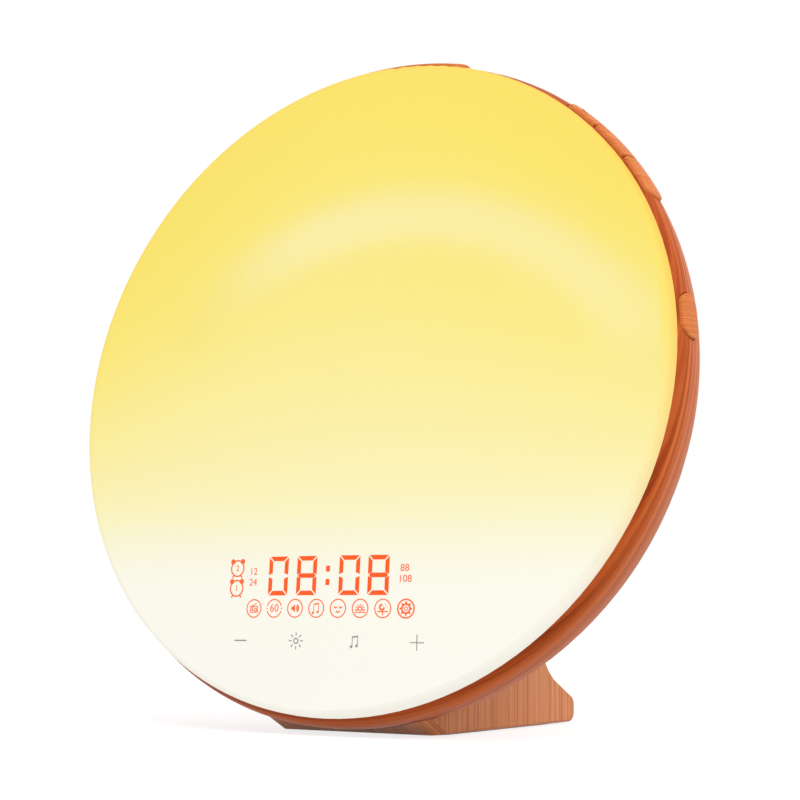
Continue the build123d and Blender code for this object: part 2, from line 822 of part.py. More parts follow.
# ---- main board, ports, battery ----
def main_board():
    shape = block((-main_board_x, main_board_bottom, -main_board_back),
                  (main_board_x, main_board_top, -main_board_depth))
    shape += block((board_tab_left, board_tab_bottom, -main_board_back),
                   (board_tab_right, board_tab_top, -main_board_depth))
    for x, y in board_post_places:
        shape -= rod(x, y, -main_board_back - 1, -main_board_depth + 1, small_screw_hole)
    return shape


lead_plugs = {
    "speaker": (10.0, -15.5),
    "light": light_lead_place,
    "display": display_lead_place,
    "snooze": (20.0, -15.5),
    "strip": (28.0, -15.5),
    "lamp": (36.5, -15.5),
}
# low corner and high corner, up from the board's lower edge, and height
chips = (((-22, 36), (-10, 48), 1.4), ((-26, 14), (-16, 24), 1.2), ((14, 34), (22, 42), 1.4),
         ((-37, 20), (-31, 28), 5.0), ((-37, 10), (-31, 18), 5.0), ((16, 10), (24, 20), 2.5))


def board_chips():
    base = -main_board_depth
    shapes = []
    for x, y in lead_plugs.values():
        shapes.append(block((x - lead_plug_half, y - lead_plug_half, base),
                            (x + lead_plug_half, y + lead_plug_half, base + lead_plug_height)))
    for low, high, tall in chips:
        shapes.append(Pos(0, main_board_bottom, 0) * block((*low, base), (*high, base + tall)))
    return Compound(children=shapes)


def dc_jack():
    front = -head_depth + 0.3
    shape = block((jack_x - jack_half_x, jack_y - jack_half_y, -inner_back),
                  (jack_x + jack_half_x, jack_y + jack_half_y, -main_board_back))
    shape += rod(jack_x, jack_y, front, -inner_back + 1, jack_nose_radius)
    bore_end = front + jack_bore_depth
    shape -= rod(jack_x, jack_y, -head_depth, bore_end, jack_bore_radius)
    shape += rod(jack_x, jack_y, front + 1.0, bore_end + 1.0, jack_pin_radius)
    return shape


def usb_port():
    half_x = usb_height / 2
    half_y = usb_width / 2
    front = -head_depth + 0.2
    place = Pos(usb_x, usb_y, 0)
    shape = block((-half_x, -half_y, front), (half_x, half_y, -main_board_back))
    shape -= block((-half_x + usb_shell, -half_y + usb_shell, -head_depth - 1),
                   (half_x - usb_shell, half_y - usb_shell, -main_board_back - 4.0))
    shape += block((-usb_tongue / 8, -half_y + 1.1, front + 1.0),
                   (usb_tongue * 7 / 8, half_y - 1.1, -main_board_back - 3.0))
    return place * shape


def battery_door():
    outer = rod(0, 0, -head_depth, -head_depth + door_thick, door_radius)
    plug_top = -inner_back + door_gap + door_tab_thick
    shape = outer + rod(0, 0, -head_depth, plug_top, door_plug_radius)
    shape += door_sector(door_tab_radius, 0, door_tab_angle, -inner_back + door_gap, plug_top)
    shape -= block((-door_slot_half, -0.9, -head_depth - 1), (door_slot_half, 0.9, -head_depth + 0.9))
    return Pos(cell_x, cell_y, 0) * shape


def coin_cell():
    low = -inner_back + 2 * door_gap + door_tab_thick
    shape = rod(cell_x, cell_y, low, low + cell_height, cell_radius)
    return chamfer(shape.faces().sort_by(Axis.Z)[0].edges(), 0.3)


def cell_contact():
    low = -inner_back + 2 * door_gap + door_tab_thick + cell_height
    leaf = block((-contact_half_width, -contact_half_length, low),
                 (contact_half_width, contact_half_length, low + contact_thick))
    return Pos(cell_x, cell_y, 0) * (leaf + rod(0, 0, low, -cup_top_depth, contact_dome_radius))


# ---- speaker ----
def speaker_frame():
    seat = -inner_back + speaker_seat
    flange_top = seat + speaker_flange
    plate = magnet_radius + 1.0
    inner_plate = -speaker_floor - speaker_plate
    shape = Pos(0, speaker_y, 0) * turned([Polyline(
        (cone_radius + 0.2, seat), (speaker_radius, seat), (speaker_radius, flange_top),
        (cone_radius + 1.5, flange_top), (plate, -speaker_floor - 1.0), (plate, -speaker_floor),
        (0, -speaker_floor), (0, inner_plate), (magnet_radius - 0.5, inner_plate),
        (cone_radius + 0.2, flange_top), close=True)])
    for x, y in speaker_screw_places():
        shape -= rod(x, y, seat - 1, flange_top + 1, small_screw_hole)
    x, y = speaker_tag
    shape += block((x - 2, y - 1, flange_top - 0.5), (x + 2, y + 1, -speaker_tag_depth))
    return shape


def speaker_cone():
    seat = -inner_back + speaker_seat
    neck = -speaker_floor - 4.0
    return Pos(0, speaker_y, 0) * turned([Polyline(
        (cone_radius, seat + 0.2), (cone_radius, seat + 1.0), (cone_radius - 2.3, seat + 0.9),
        (cone_neck_radius + 0.5, neck), (0, neck + 1.8), (0, neck + 1.2), (cone_neck_radius, neck - 0.6),
        (cone_radius - 2.7, seat + 0.2), close=True)])


def speaker_coil():
    low = -speaker_floor - 3.55
    high = -speaker_floor - speaker_plate
    coil = rod(0, speaker_y, low, high, speaker_coil_radius)
    return coil - rod(0, speaker_y, low - 1, high + 1, speaker_coil_radius - 0.5)


def speaker_magnet():
    magnet = rod(0, speaker_y, -speaker_floor, -speaker_floor + magnet_height, magnet_radius)
    return fillet(magnet.faces().sort_by(Axis.Z)[-1].edges(), 0.6)


def speaker_gasket():
    top = -inner_back + speaker_seat
    ring = rod(0, speaker_y, -inner_back, top, speaker_gasket_radius)
    return ring - rod(0, speaker_y, -inner_back - 1, top + 1, speaker_gasket_radius - gasket_wall)


def speaker_felt():
    felt_radius = speaker_gasket_radius - gasket_wall - 0.2
    return rod(0, speaker_y, -inner_back, -inner_back + felt_thick, felt_radius)


# ---- leads ----
def lead(points):
    """A round wire through the points, with arcs as large as its runs allow."""
    vectors = [Vector(*point) for point in points]
    radii = []
    for before, corner, after in zip(vectors, vectors[1:], vectors[2:]):
        turn = math.radians((corner - before).get_angle(after - corner))
        run = min((corner - before).length, (after - corner).length)
        radii.append(0.45 * run / math.tan(turn / 2))
    path = FilletPolyline(*vectors, radius=radii)
    start = Plane(origin=path @ 0, z_dir=path % 0)
    tube = sweep(start * Circle(lead_radius), path=path)
    return tube


def save_leads():
    lead_level = -main_board_depth + lead_plug_height / 2
    x, y = lead_plugs["speaker"]
    save_in_head("speaker_lead", lead([(*speaker_tag, -speaker_tag_depth), (*speaker_tag, lead_level),
                                       (x, y + lead_plug_half, lead_level)]))
    x, y = lead_plugs["light"]
    plug_top = -main_board_depth + lead_plug_height
    save_in_head("light_lead", rod(x, y, plug_top, -tray_floor_depth, lead_radius))
    x, y = lead_plugs["display"]
    save_in_head("display_lead", rod(x, y, plug_top, -display_board_back, lead_radius))

    def from_board(angle, shift=0.0):
        return [tuple(around(angle, Pos(key_board_radius - run, shift, -key_lead_depth)).position)
                for run in (0.0, 8.0)]

    def inside(inset, angle, depth):
        return (*on_circle(key_board_radius - inset, angle), -depth)

    x, y = lead_plugs["strip"]
    save_in_head("strip_key_lead", lead([
        *from_board(strip_angle), inside(17.0, 38.5, 26.4), inside(38.5, 30.3, 28.8),
        (31.0, 5.0, -28.6), (x, y + lead_plug_half + lead_end_gap, lead_level)]))
    x, y = lead_plugs["lamp"]
    save_in_head("lamp_key_lead", lead([
        *from_board(lamp_angle), inside(19.7, 5.2, 26.2), inside(36.0, 2.3, 28.8),
        (40.0, -4.0, -28.8), (x, y + lead_plug_half + lead_end_gap, lead_level)]))
    x, y = lead_plugs["snooze"]
    save_in_head("snooze_key_lead", lead([
        *from_board(snooze_angle, -6.0), inside(18.7, 78.9, 27.0), inside(30.1, 63.4, 30.0),
        (31.0, 30.0, -33.0), (26.0, 6.0, -29.6),
        (x, y + lead_plug_half + lead_end_gap, lead_level)]))


# ---- foot ----
def foot_face(bottom):
    """The foot's side view, with its underside at a height; Y to the back, Z up."""
    ramp = math.tan(math.radians(foot_ramp_angle))
    low = math.radians(foot_toe_slope)
    high = math.radians(foot_back_slope)
    toe_top = (foot_toe, foot_toe_height)
    sweep_low = (foot_sweep_start,
                 foot_toe_height + (foot_toe - foot_sweep_start) * math.tan(low))
    centre = (sweep_low[0] + foot_sweep_radius * math.sin(low),
              sweep_low[1] + foot_sweep_radius * math.cos(low))
    arc_start = 270.0 - foot_toe_slope
    arc = CenterArc(centre, foot_sweep_radius, arc_start, foot_toe_slope - foot_back_slope)
    root_y = -face_setback + head_depth - foot_root_inset
    root = (root_y, (arc @ 1).Y + ((arc @ 1).X - root_y) * math.tan(high))
    ramp_top = (foot_front - foot_ramp_run, foot_ramp_run * ramp)
    heel = (foot_front - bottom / ramp, bottom)
    outline = make_face([
        Line(heel, (foot_toe, bottom)),
        Line((foot_toe, bottom), toe_top),
        Line(toe_top, arc @ 0),
        arc,
        Line(arc @ 1, root),
        Line(root, ramp_top),
        Line(ramp_top, heel),
    ])
    return outline


def head_outside(gap):
    """The bowl and the diffuser's edge, grown by a gap."""
    return bowl(gap) + rod(0, 0, -rim_bulge_depth, diffuser_dome, face_radius + gap)


def seat_cut(gap):
    """The head's outside and its four screw pads, grown by a gap, in the row frame."""
    shape = head_outside(gap)
    for y in foot_screw_ys:
        for x in (-foot_screw_x, foot_screw_x):
            shape += rod(x, y, -head_depth - gap, -head_depth / 2, foot_post_radius + gap)
    return head * shape


def foot_prism():
    face = foot_face(sole_thick)
    toe = [vertex for vertex in face.vertices() if vertex.X > foot_toe - 0.01]
    face = fillet(toe, foot_toe_round)
    prism = extrude(Plane.YZ * face, foot_half_width, both=True)
    ramp_edges = [edge for edge in prism.edges()
                  if abs(abs(edge.center().X) - foot_half_width) < 0.01
                  and abs(edge.center().Y - (foot_front - foot_ramp_run / 2)) < 2.0
                  and edge.center().Z < 2 * foot_ramp_run * math.tan(math.radians(foot_ramp_angle))]
    prism = chamfer(ramp_edges, foot_bevel)
    round_edges = [edge for edge in prism.edges()
                   if abs(abs(edge.center().X) - foot_half_width) < 0.01
                   and edge.center().Y > foot_sweep_start - 20.0]
    return fillet(round_edges, foot_edge_round)


def foot_cavity(gap):
    """The hollow of the foot, open at the bottom, shrunk by a gap."""
    below = -10.0
    face = offset(foot_face(below), -(foot_wall + gap))
    prism = extrude(Plane.YZ * face, foot_half_width - foot_wall - gap, both=True)
    return prism - head * head_outside(foot_seat_gap + foot_wall + gap)


def foot_shell():
    outer = foot_prism() - seat_cut(foot_seat_gap)
    shape = outer - foot_cavity(0.0)
    bosses = Part()
    for y in cover_screw_ys:
        for x in (-cover_screw_x, cover_screw_x):
            bosses += rod(x, y, cover_top, face_height / 2, cover_boss_radius)
    head_bosses = Part()
    for y in foot_screw_ys:
        for x in (-foot_screw_x, foot_screw_x):
            head_bosses += rod(x, y, -pad_floor - foot_boss_length, -pad_floor, foot_post_radius)
    shape += (bosses + head * head_bosses) & outer
    for y in cover_screw_ys:
        for x in (-cover_screw_x, cover_screw_x):
            shape -= rod(x, y, 0, cover_top + 5.0, small_screw[1])
    pilots = Part()
    for y in foot_screw_ys:
        for x in (-foot_screw_x, foot_screw_x):
            pilots += rod(x, y, -pad_floor - foot_boss_length + 3.0, -pad_floor + 1, big_screw[1])
    return shape - head * pilots


def foot_cover():
    slab = block((-foot_half_width, foot_front - 5, sole_thick), (foot_half_width, foot_toe, cover_top))
    shape = foot_cavity(cover_gap) & slab
    rim_x = weight_half_width + weight_gap
    low = weight_front - weight_gap
    high = weight_back + weight_gap
    rim = block((-rim_x - weight_rim, low - weight_rim, cover_top),
                (rim_x + weight_rim, high + weight_rim, cover_top + 2.0))
    rim -= block((-rim_x, low, cover_top), (rim_x, high, cover_top + 3.0))
    shape += rim
    seat = sole_thick + small_screw[3] + 0.1
    for y in cover_screw_ys:
        for x in (-cover_screw_x, cover_screw_x):
            shape -= rod(x, y, 0, seat, small_screw[2] + screw_clearance)
            shape -= rod(x, y, 0, cover_top + 1, small_screw_hole)
    return shape


def foot_weight():
    shape = block((-weight_half_width, weight_front, cover_top),
                  (weight_half_width, weight_back, cover_top + weight_height))
    return chamfer(shape.edges().filter_by(Axis.Z), 1.0)


def foot_sole():
    return extrude(RectangleRounded(2 * sole_half_width, 2 * sole_half_length, sole_round), sole_thick)


# ---- screws ----
def save_screws():
    seat = case_post_top + case_seat
    case = [facing_front(*on_circle(case_screw_circle, angle), seat) * screw(big_screw, 10.0)
            for angle in case_screw_angles]
    save_in_head("case_screws", Compound(children=case))
    top = -head_depth + foot_post_height
    foot = [Pos(x, y, top) * screw(big_screw, foot_post_height + foot_boss_length - 4.0)
            for x in (-foot_screw_x, foot_screw_x) for y in foot_screw_ys]
    save_in_head("foot_screws", Compound(children=foot))
    board = [facing_back(x, y, main_board_depth) * screw(small_screw, 6.0) for x, y in board_post_places]
    save_in_head("main_board_screws", Compound(children=board))
    seat = inner_back - speaker_seat - speaker_flange
    speaker = [facing_back(x, y, seat) * screw(small_screw, 4.5) for x, y in speaker_screw_places()]
    save_in_head("speaker_screws", Compound(children=speaker))
    light = [facing_back(x, y, tray_floor_depth - board_thick) * screw(small_screw, 5.0)
             for x in (-light_screw_offset, light_screw_offset)
             for y in (-light_screw_offset, light_screw_offset)]
    save_in_head("light_board_screws", Compound(children=light))
    display = [facing_back(x, y, frame_back_depth) * screw(small_screw, 5.0)
               for x, y in display_screw_places]
    save_in_head("display_screws", Compound(children=display))
    seat = sole_thick + small_screw[3] + 0.1
    cover = [Pos(x, y, seat) * Rot(180, 0, 0) * screw(small_screw, 6.0)
             for x in (-cover_screw_x, cover_screw_x) for y in cover_screw_ys]
    save("foot_cover_screws", Compound(children=cover))


# ---- write the parts ----
os.makedirs("parts", exist_ok=True)
save_in_head("rear_housing", rear_housing())
save_in_head("diffuser", diffuser())
save_in_head("reflector_tray", reflector_tray())
save_in_head("light_board", light_board())
save_in_head("light_leds", light_leds())
save_in_head("display_frame", display_frame())
save_in_head("segment_lenses", segment_lenses())
save_in_head("display_leds", display_leds())
save_in_head("display_board", display_board())
save_in_head("touch_pads", touch_pads())
save_in_head("main_board", main_board())
save_in_head("board_chips", board_chips())
save_in_head("dc_jack", dc_jack())
save_in_head("usb_port", usb_port())
save_in_head("battery_door", battery_door())
save_in_head("coin_cell", coin_cell())
save_in_head("cell_contact", cell_contact())
save_in_head("speaker_frame", speaker_frame())
save_in_head("speaker_cone", speaker_cone())
save_in_head("speaker_coil", speaker_coil())
save_in_head("speaker_magnet", speaker_magnet())
save_in_head("speaker_gasket", speaker_gasket())
save_in_head("speaker_felt", speaker_felt())
save_keys()
save_leads()
save_screws()
save("foot_shell", foot_shell())
save("foot_cover", foot_cover())
save("foot_weight", foot_weight())
save("foot_sole", foot_sole())
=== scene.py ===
import bpy
import math
from mathutils import Matrix, Vector


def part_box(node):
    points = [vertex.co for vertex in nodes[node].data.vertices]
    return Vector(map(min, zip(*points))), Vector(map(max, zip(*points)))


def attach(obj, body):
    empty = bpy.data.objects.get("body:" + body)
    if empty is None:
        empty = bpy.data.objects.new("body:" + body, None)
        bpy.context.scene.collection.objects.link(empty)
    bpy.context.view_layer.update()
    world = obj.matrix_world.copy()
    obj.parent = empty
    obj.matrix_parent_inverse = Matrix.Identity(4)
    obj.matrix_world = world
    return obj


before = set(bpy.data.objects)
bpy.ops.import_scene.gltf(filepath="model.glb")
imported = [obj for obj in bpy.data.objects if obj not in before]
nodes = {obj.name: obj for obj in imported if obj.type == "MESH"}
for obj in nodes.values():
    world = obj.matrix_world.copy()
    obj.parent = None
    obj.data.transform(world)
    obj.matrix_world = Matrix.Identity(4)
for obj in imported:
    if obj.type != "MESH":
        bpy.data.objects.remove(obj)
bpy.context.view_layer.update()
print("clock frame loaded:", len(nodes), "nodes")

mm = 0.001
head = {
    "lean": 8.5,                # degrees the face leans back
    "middle": (0, -0.053, 0.1053),
    "domeHeight": 7.0,          # mm, millimetres from here on
    "domeRadius": 729.3,
}
headPlace = (Matrix.Translation(head["middle"])
             @ Matrix.Rotation(math.radians(90 - head["lean"]), 4, "X"))


# camera, lamps and floor
view = {
    "place": (0.24948, -0.45249, 0.02991),
    "turn": (98.200, -0.495, 30.129),   # degrees about X, Y and Z
    "lens": 72.01,
}
cameraData = bpy.data.cameras.new("camera")
cameraData.sensor_width = 36
cameraData.lens = view["lens"]
cameraData.clip_start = 0.01
camera = bpy.data.objects.new("camera", cameraData)
bpy.context.scene.collection.objects.link(camera)
camera.location = view["place"]
camera.rotation_euler = [math.radians(angle) for angle in view["turn"]]
bpy.context.scene.camera = camera
bpy.context.scene.view_settings.view_transform = "Standard"


def addNode(tree, kind, place, **settings):
    node = tree.nodes.new(kind)
    node.location = place
    for name, value in settings.items():
        setattr(node, name, value)
    return node


def grey(value):
    return value, value, value


def seenRays(tree):
    # 1 for rays from the camera, from gloss and through clear things
    path = addNode(tree, "ShaderNodeLightPath", (-800, 0))
    first = addNode(tree, "ShaderNodeMath", (-600, 0), operation="MAXIMUM")
    both = addNode(tree, "ShaderNodeMath", (-400, 0), operation="MAXIMUM")
    tree.links.new(path.outputs["Is Camera Ray"], first.inputs[0])
    tree.links.new(path.outputs["Is Glossy Ray"], first.inputs[1])
    tree.links.new(first.outputs[0], both.inputs[0])
    tree.links.new(path.outputs["Is Transmission Ray"], both.inputs[1])
    return both.outputs[0]


room = {
    "fill": 0.6,
    "keyLamp": {"strength": 1.5, "direction": (-0.55, 0.55, -0.72), "softness": 40},
    "sideLamp": {"strength": 0.55, "direction": (-0.9, -0.1, -0.25), "softness": 60},
    "floorSize": 60,
    "floorShade": 0.6,          # for the light that the floor throws back
    "seenShade": 0.35,          # for the camera, which shows the shadow
    "seenGlow": 0.8,            # for the camera, which lifts the floor to near white
}
world = bpy.data.worlds.new("studio")
bpy.context.scene.world = world
world.use_nodes = True
tree = world.node_tree
tree.nodes.clear()
fill = addNode(tree, "ShaderNodeBackground", (-200, -150))
fill.inputs["Color"].default_value = (1, 1, 1, 1)
fill.inputs["Strength"].default_value = room["fill"]
white = addNode(tree, "ShaderNodeBackground", (-200, 50))
white.inputs["Color"].default_value = (1, 1, 1, 1)
white.inputs["Strength"].default_value = 1.0
mix = addNode(tree, "ShaderNodeMixShader", (0, 0))
out = addNode(tree, "ShaderNodeOutputWorld", (200, 0))
tree.links.new(seenRays(tree), mix.inputs[0])
tree.links.new(fill.outputs[0], mix.inputs[1])
tree.links.new(white.outputs[0], mix.inputs[2])
tree.links.new(mix.outputs[0], out.inputs[0])


def addSun(name, direction, strength, softness):
    data = bpy.data.lights.new(name, "SUN")
    data.energy = strength
    data.angle = math.radians(softness)
    lamp = bpy.data.objects.new(name, data)
    bpy.context.scene.collection.objects.link(lamp)
    lamp.rotation_euler = Vector(direction).to_track_quat("-Z", "Y").to_euler()


for name in ("keyLamp", "sideLamp"):
    addSun(name, **room[name])

bpy.ops.object.select_all(action="DESELECT")
bpy.ops.mesh.primitive_plane_add(size=room["floorSize"], location=(0, 0, 0))
floor = bpy.context.object
floor.name = "floor"
floorFinish = bpy.data.materials.new("paleFloor")
floorFinish.use_nodes = True
tree = floorFinish.node_tree
tree.nodes.clear()
matt = addNode(tree, "ShaderNodeBsdfDiffuse", (-400, 300))
matt.inputs["Color"].default_value = (*grey(room["floorShade"]), 1)
seenMatt = addNode(tree, "ShaderNodeBsdfDiffuse", (-400, 100))
seenMatt.inputs["Color"].default_value = (*grey(room["seenShade"]), 1)
glow = addNode(tree, "ShaderNodeEmission", (-400, -150))
glow.inputs["Color"].default_value = (1, 1, 1, 1)
glow.inputs["Strength"].default_value = room["seenGlow"]
addUp = addNode(tree, "ShaderNodeAddShader", (-100, 0))
pick = addNode(tree, "ShaderNodeMixShader", (100, 100))
out = addNode(tree, "ShaderNodeOutputMaterial", (300, 100))
tree.links.new(seenMatt.outputs[0], addUp.inputs[0])
tree.links.new(glow.outputs[0], addUp.inputs[1])
tree.links.new(seenRays(tree), pick.inputs[0])
tree.links.new(matt.outputs[0], pick.inputs[1])
tree.links.new(addUp.outputs[0], pick.inputs[2])
tree.links.new(pick.outputs[0], out.inputs[0])
floor.data.materials.append(floorFinish)
print("camera, lamps and floor placed")


# finishes
def newFinish(name):
    finish = bpy.data.materials.new(name)
    finish.use_nodes = True
    return finish, finish.node_tree, finish.node_tree.nodes["Principled BSDF"]


def objectPoint(tree, scale=None, inHead=False):
    # object coordinates in metres, or in the head's own frame, then scaled
    coordinate = addNode(tree, "ShaderNodeTexCoord", (-1600, 0)).outputs["Object"]
    if inHead:
        shift = addNode(tree, "ShaderNodeMapping", (-1400, 0))
        shift.inputs["Location"].default_value = [-value for value in head["middle"]]
        tree.links.new(coordinate, shift.inputs["Vector"])
        tilt = addNode(tree, "ShaderNodeMapping", (-1200, 0))
        tilt.inputs["Rotation"].default_value = (math.radians(head["lean"] - 90), 0, 0)
        tree.links.new(shift.outputs[0], tilt.inputs["Vector"])
        coordinate = tilt.outputs[0]
    if not scale:
        return coordinate
    stretch = addNode(tree, "ShaderNodeMapping", (-1000, 0))
    stretch.inputs["Scale"].default_value = scale
    tree.links.new(coordinate, stretch.inputs["Vector"])
    return stretch.outputs[0]


def noise(tree, vector, scale, detail=3.0, roughness=0.5, distortion=0.0):
    node = addNode(tree, "ShaderNodeTexNoise", (-600, 0))
    node.inputs["Scale"].default_value = scale
    node.inputs["Detail"].default_value = detail
    node.inputs["Roughness"].default_value = roughness
    node.inputs["Distortion"].default_value = distortion
    tree.links.new(vector, node.inputs["Vector"])
    return node.outputs["Fac"]


def ramp(tree, value, stops, smooth=False):
    stops = list(stops)
    node = addNode(tree, "ShaderNodeValToRGB", (-300, 0))
    node.color_ramp.interpolation = "EASE" if smooth else "LINEAR"
    stopsThere = node.color_ramp.elements
    while len(stopsThere) < len(stops):
        stopsThere.new(0.5)
    for stop, (position, colour) in zip(stopsThere, stops):
        stop.position = position
        stop.color = (*colour, 1)
    tree.links.new(value, node.inputs["Fac"])
    return node.outputs["Color"]


def maths(tree, operation, first, second=None, third=None):
    node = addNode(tree, "ShaderNodeMath", (-500, -200), operation=operation)
    for place, value in enumerate((first, second, third)):
        if value is None:
            continue
        if isinstance(value, (int, float)):
            node.inputs[place].default_value = value
        else:
            tree.links.new(value, node.inputs[place])
    return node.outputs[0]


def times(tree, value, factor):
    return maths(tree, "MULTIPLY", value, factor)


def fromAxis(tree, x, y):
    # distance from the head's axis
    return maths(tree, "SQRT", maths(tree, "ADD", times(tree, x, x), times(tree, y, y)))


def splitPoint(tree, inHead=False):
    split = addNode(tree, "ShaderNodeSeparateXYZ", (-1000, 200))
    tree.links.new(objectPoint(tree, inHead=inHead), split.inputs[0])
    return split.outputs


def joinPoint(tree, values):
    join = addNode(tree, "ShaderNodeCombineXYZ", (-800, 200))
    for value, socket in zip(values, join.inputs):
        tree.links.new(value, socket)
    return join.outputs[0]


def blendColours(tree, amount, first, second, how="MIX"):
    node = addNode(tree, "ShaderNodeMix", (-100, 0), data_type="RGBA", blend_type=how)
    for place, value in ((0, amount), (6, first), (7, second)):
        socket = node.inputs[place]
        if isinstance(value, (int, float)):
            socket.default_value = value
        elif isinstance(value, tuple):
            socket.default_value = (*value, 1)
        else:
            tree.links.new(value, socket)
    return node.outputs[2]


def addBump(tree, shader, height, strength, distance):
    bump = addNode(tree, "ShaderNodeBump", (-100, -400))
    bump.inputs["Strength"].default_value = strength
    bump.inputs["Distance"].default_value = distance
    tree.links.new(height, bump.inputs["Height"])
    tree.links.new(bump.outputs[0], shader.inputs["Normal"])


def toLinear(red, green, blue):
    def one(value):
        value /= 255
        return value / 12.92 if value <= 0.04045 else ((value + 0.055) / 1.055) ** 2.4
    return one(red), one(green), one(blue)


# wood-grain film, each from its darkest line to its palest ground
woodShades = {
    "rim": ((150, 66, 16), (204, 102, 42), (228, 124, 64), (242, 148, 88)),
    "foot": ((176, 100, 56), (218, 136, 88), (236, 158, 107), (246, 174, 126)),
    "keys": ((156, 78, 20), (212, 114, 52), (236, 138, 74), (248, 160, 100)),
}
grain = {
    "crossing": 0.04,           # how far the rim's lines run out of true
    "archTop": 8.6,             # mm under the table, where the keys' arches have their top
    "archBend": -70.0,
    "sideDepth": 0.2,           # mm inside the foot's width that still counts as its side
    "paintedShadeReach": 20,            # mm behind the face over which the painted shade fades
}


def grainAround(tree, along):
    # the grain runs round the head, so it only changes quickly from front to back
    x, y, z = splitPoint(tree, True)
    across = maths(tree, "ADD", z, fromAxis(tree, x, y))
    across = maths(tree, "ADD", across, times(tree, y, grain["crossing"]))
    return joinPoint(tree, [times(tree, *pair) for pair in zip((x, y, across), along)])


def grainArched(tree, along):
    # the grain lines bend over the keys in arches
    x, y, z = splitPoint(tree)
    depth = maths(tree, "ADD", z, grain["archTop"] * mm)
    bow = times(tree, times(tree, depth, depth), grain["archBend"])
    return joinPoint(tree, [times(tree, *pair) for pair in zip((x, maths(tree, "ADD", y, bow), z), along)])


def grainUpright(tree, along):
    # the grain lines run up the foot's two flat sides and up its back
    x, y, z = splitPoint(tree)
    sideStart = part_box("foot_shell")[1].x - grain["sideDepth"] * mm
    side = maths(tree, "GREATER_THAN", maths(tree, "ABSOLUTE", x), sideStart)
    elsewhere = maths(tree, "SUBTRACT", 1.0, side)
    x, y, z = [times(tree, *pair) for pair in zip((x, y, z), along)]
    return joinPoint(tree, (times(tree, x, elsewhere), times(tree, y, side), z))


def woodFilm(name, shadeName, pattern, along, poreScale, paintedShadeFront=False):
    finish, tree, shader = newFinish(name)
    shades = [toLinear(*shade) for shade in woodShades[shadeName]]
    grainPoint = pattern(tree, along)
    broad = noise(tree, grainPoint, 0.28, 2.0, 0.5, 0.6)
    lines = noise(tree, grainPoint, 1.0, 5.0, 0.62, 0.9)
    pores = noise(tree, grainPoint, poreScale, 3.0, 0.7, 0.2)
    base = ramp(tree, lines, zip((0.30, 0.43, 0.54, 0.70), shades))
    tint = ramp(tree, broad, ((0.32, (0.80, 0.74, 0.70)), (0.55, grey(1)), (0.75, (1.06, 1.08, 1.10))))
    base = blendColours(tree, 0.85, base, tint, "MULTIPLY")
    fine = ramp(tree, pores, ((0.34, (0.70, 0.62, 0.58)), (0.47, grey(1)), (0.9, grey(1.03))))
    base = blendColours(tree, 0.7, base, fine, "MULTIPLY")
    if paintedShadeFront:
        # painted shade: the film is made redder and darker next to the lit face, where the rim turns sideways
        # from the light
        z = splitPoint(tree, True)[2]
        paintedShade = ramp(tree, times(tree, z, -1 / (grain["paintedShadeReach"] * mm)),
                    ((0.18, (0.72, 0.50, 0.34)), (0.42, (0.92, 0.80, 0.66)), (0.8, grey(1))), True)
        base = blendColours(tree, 1.0, base, paintedShade, "MULTIPLY")
    tree.links.new(base, shader.inputs["Base Color"])
    rough = ramp(tree, pores, ((0.3, grey(0.52)), (0.7, grey(0.38))))
    tree.links.new(rough, shader.inputs["Roughness"])
    shader.inputs["IOR"].default_value = 1.2
    addBump(tree, shader, pores, 0.25, 0.12 * mm)
    return finish


def smoothMiddle(tree, shader, x, y, z):
    # near the middle of the dome, the true normal of the ball that the dome is cut from
    fromBall = maths(tree, "ADD", z, (head["domeRadius"] - head["domeHeight"]) * mm)
    tilt = addNode(tree, "ShaderNodeMapping", (-600, -600), vector_type="NORMAL")
    tilt.inputs["Rotation"].default_value = (math.radians(90 - head["lean"]), 0, 0)
    tree.links.new(joinPoint(tree, (x, y, fromBall)), tilt.inputs["Vector"])
    nearMiddle = maths(tree, "GREATER_THAN", z, (head["domeHeight"] - 1) * mm)
    pick = addNode(tree, "ShaderNodeMix", (-200, -600), data_type="VECTOR")
    tree.links.new(nearMiddle, pick.inputs[0])
    tree.links.new(shader.inputs["Normal"].links[0].from_socket, pick.inputs[4])
    tree.links.new(tilt.outputs[0], pick.inputs[5])
    tree.links.new(pick.outputs[1], shader.inputs["Normal"])


faceLight = {
    "reach": 100,               # mm from the middle to the top and bottom shade
    "shades": {-93: (255, 253, 242), -68: (255, 253, 240), -60: (254, 252, 235), -52: (254, 250, 221),
               -43: (254, 248, 199), -34: (254, 245, 185), -17: (254, 242, 168), 1: (254, 240, 154),
               20: (253, 237, 137), 40: (253, 234, 123), 60: (252, 232, 113), 80: (252, 230, 106),
               100: (251, 228, 102)},
    "archFoot": 43,             # mm below the middle, where the shades still run level
    "archBend": 64.0,
    "edgeReach": 102,           # mm, the radius that the edge's stops are shares of
    "ownShare": 0.375,          # what the room's light adds
    "emission": 0.63,
    "frontRoughness": 0.14,
    "edgeRoughness": 0.6,
}


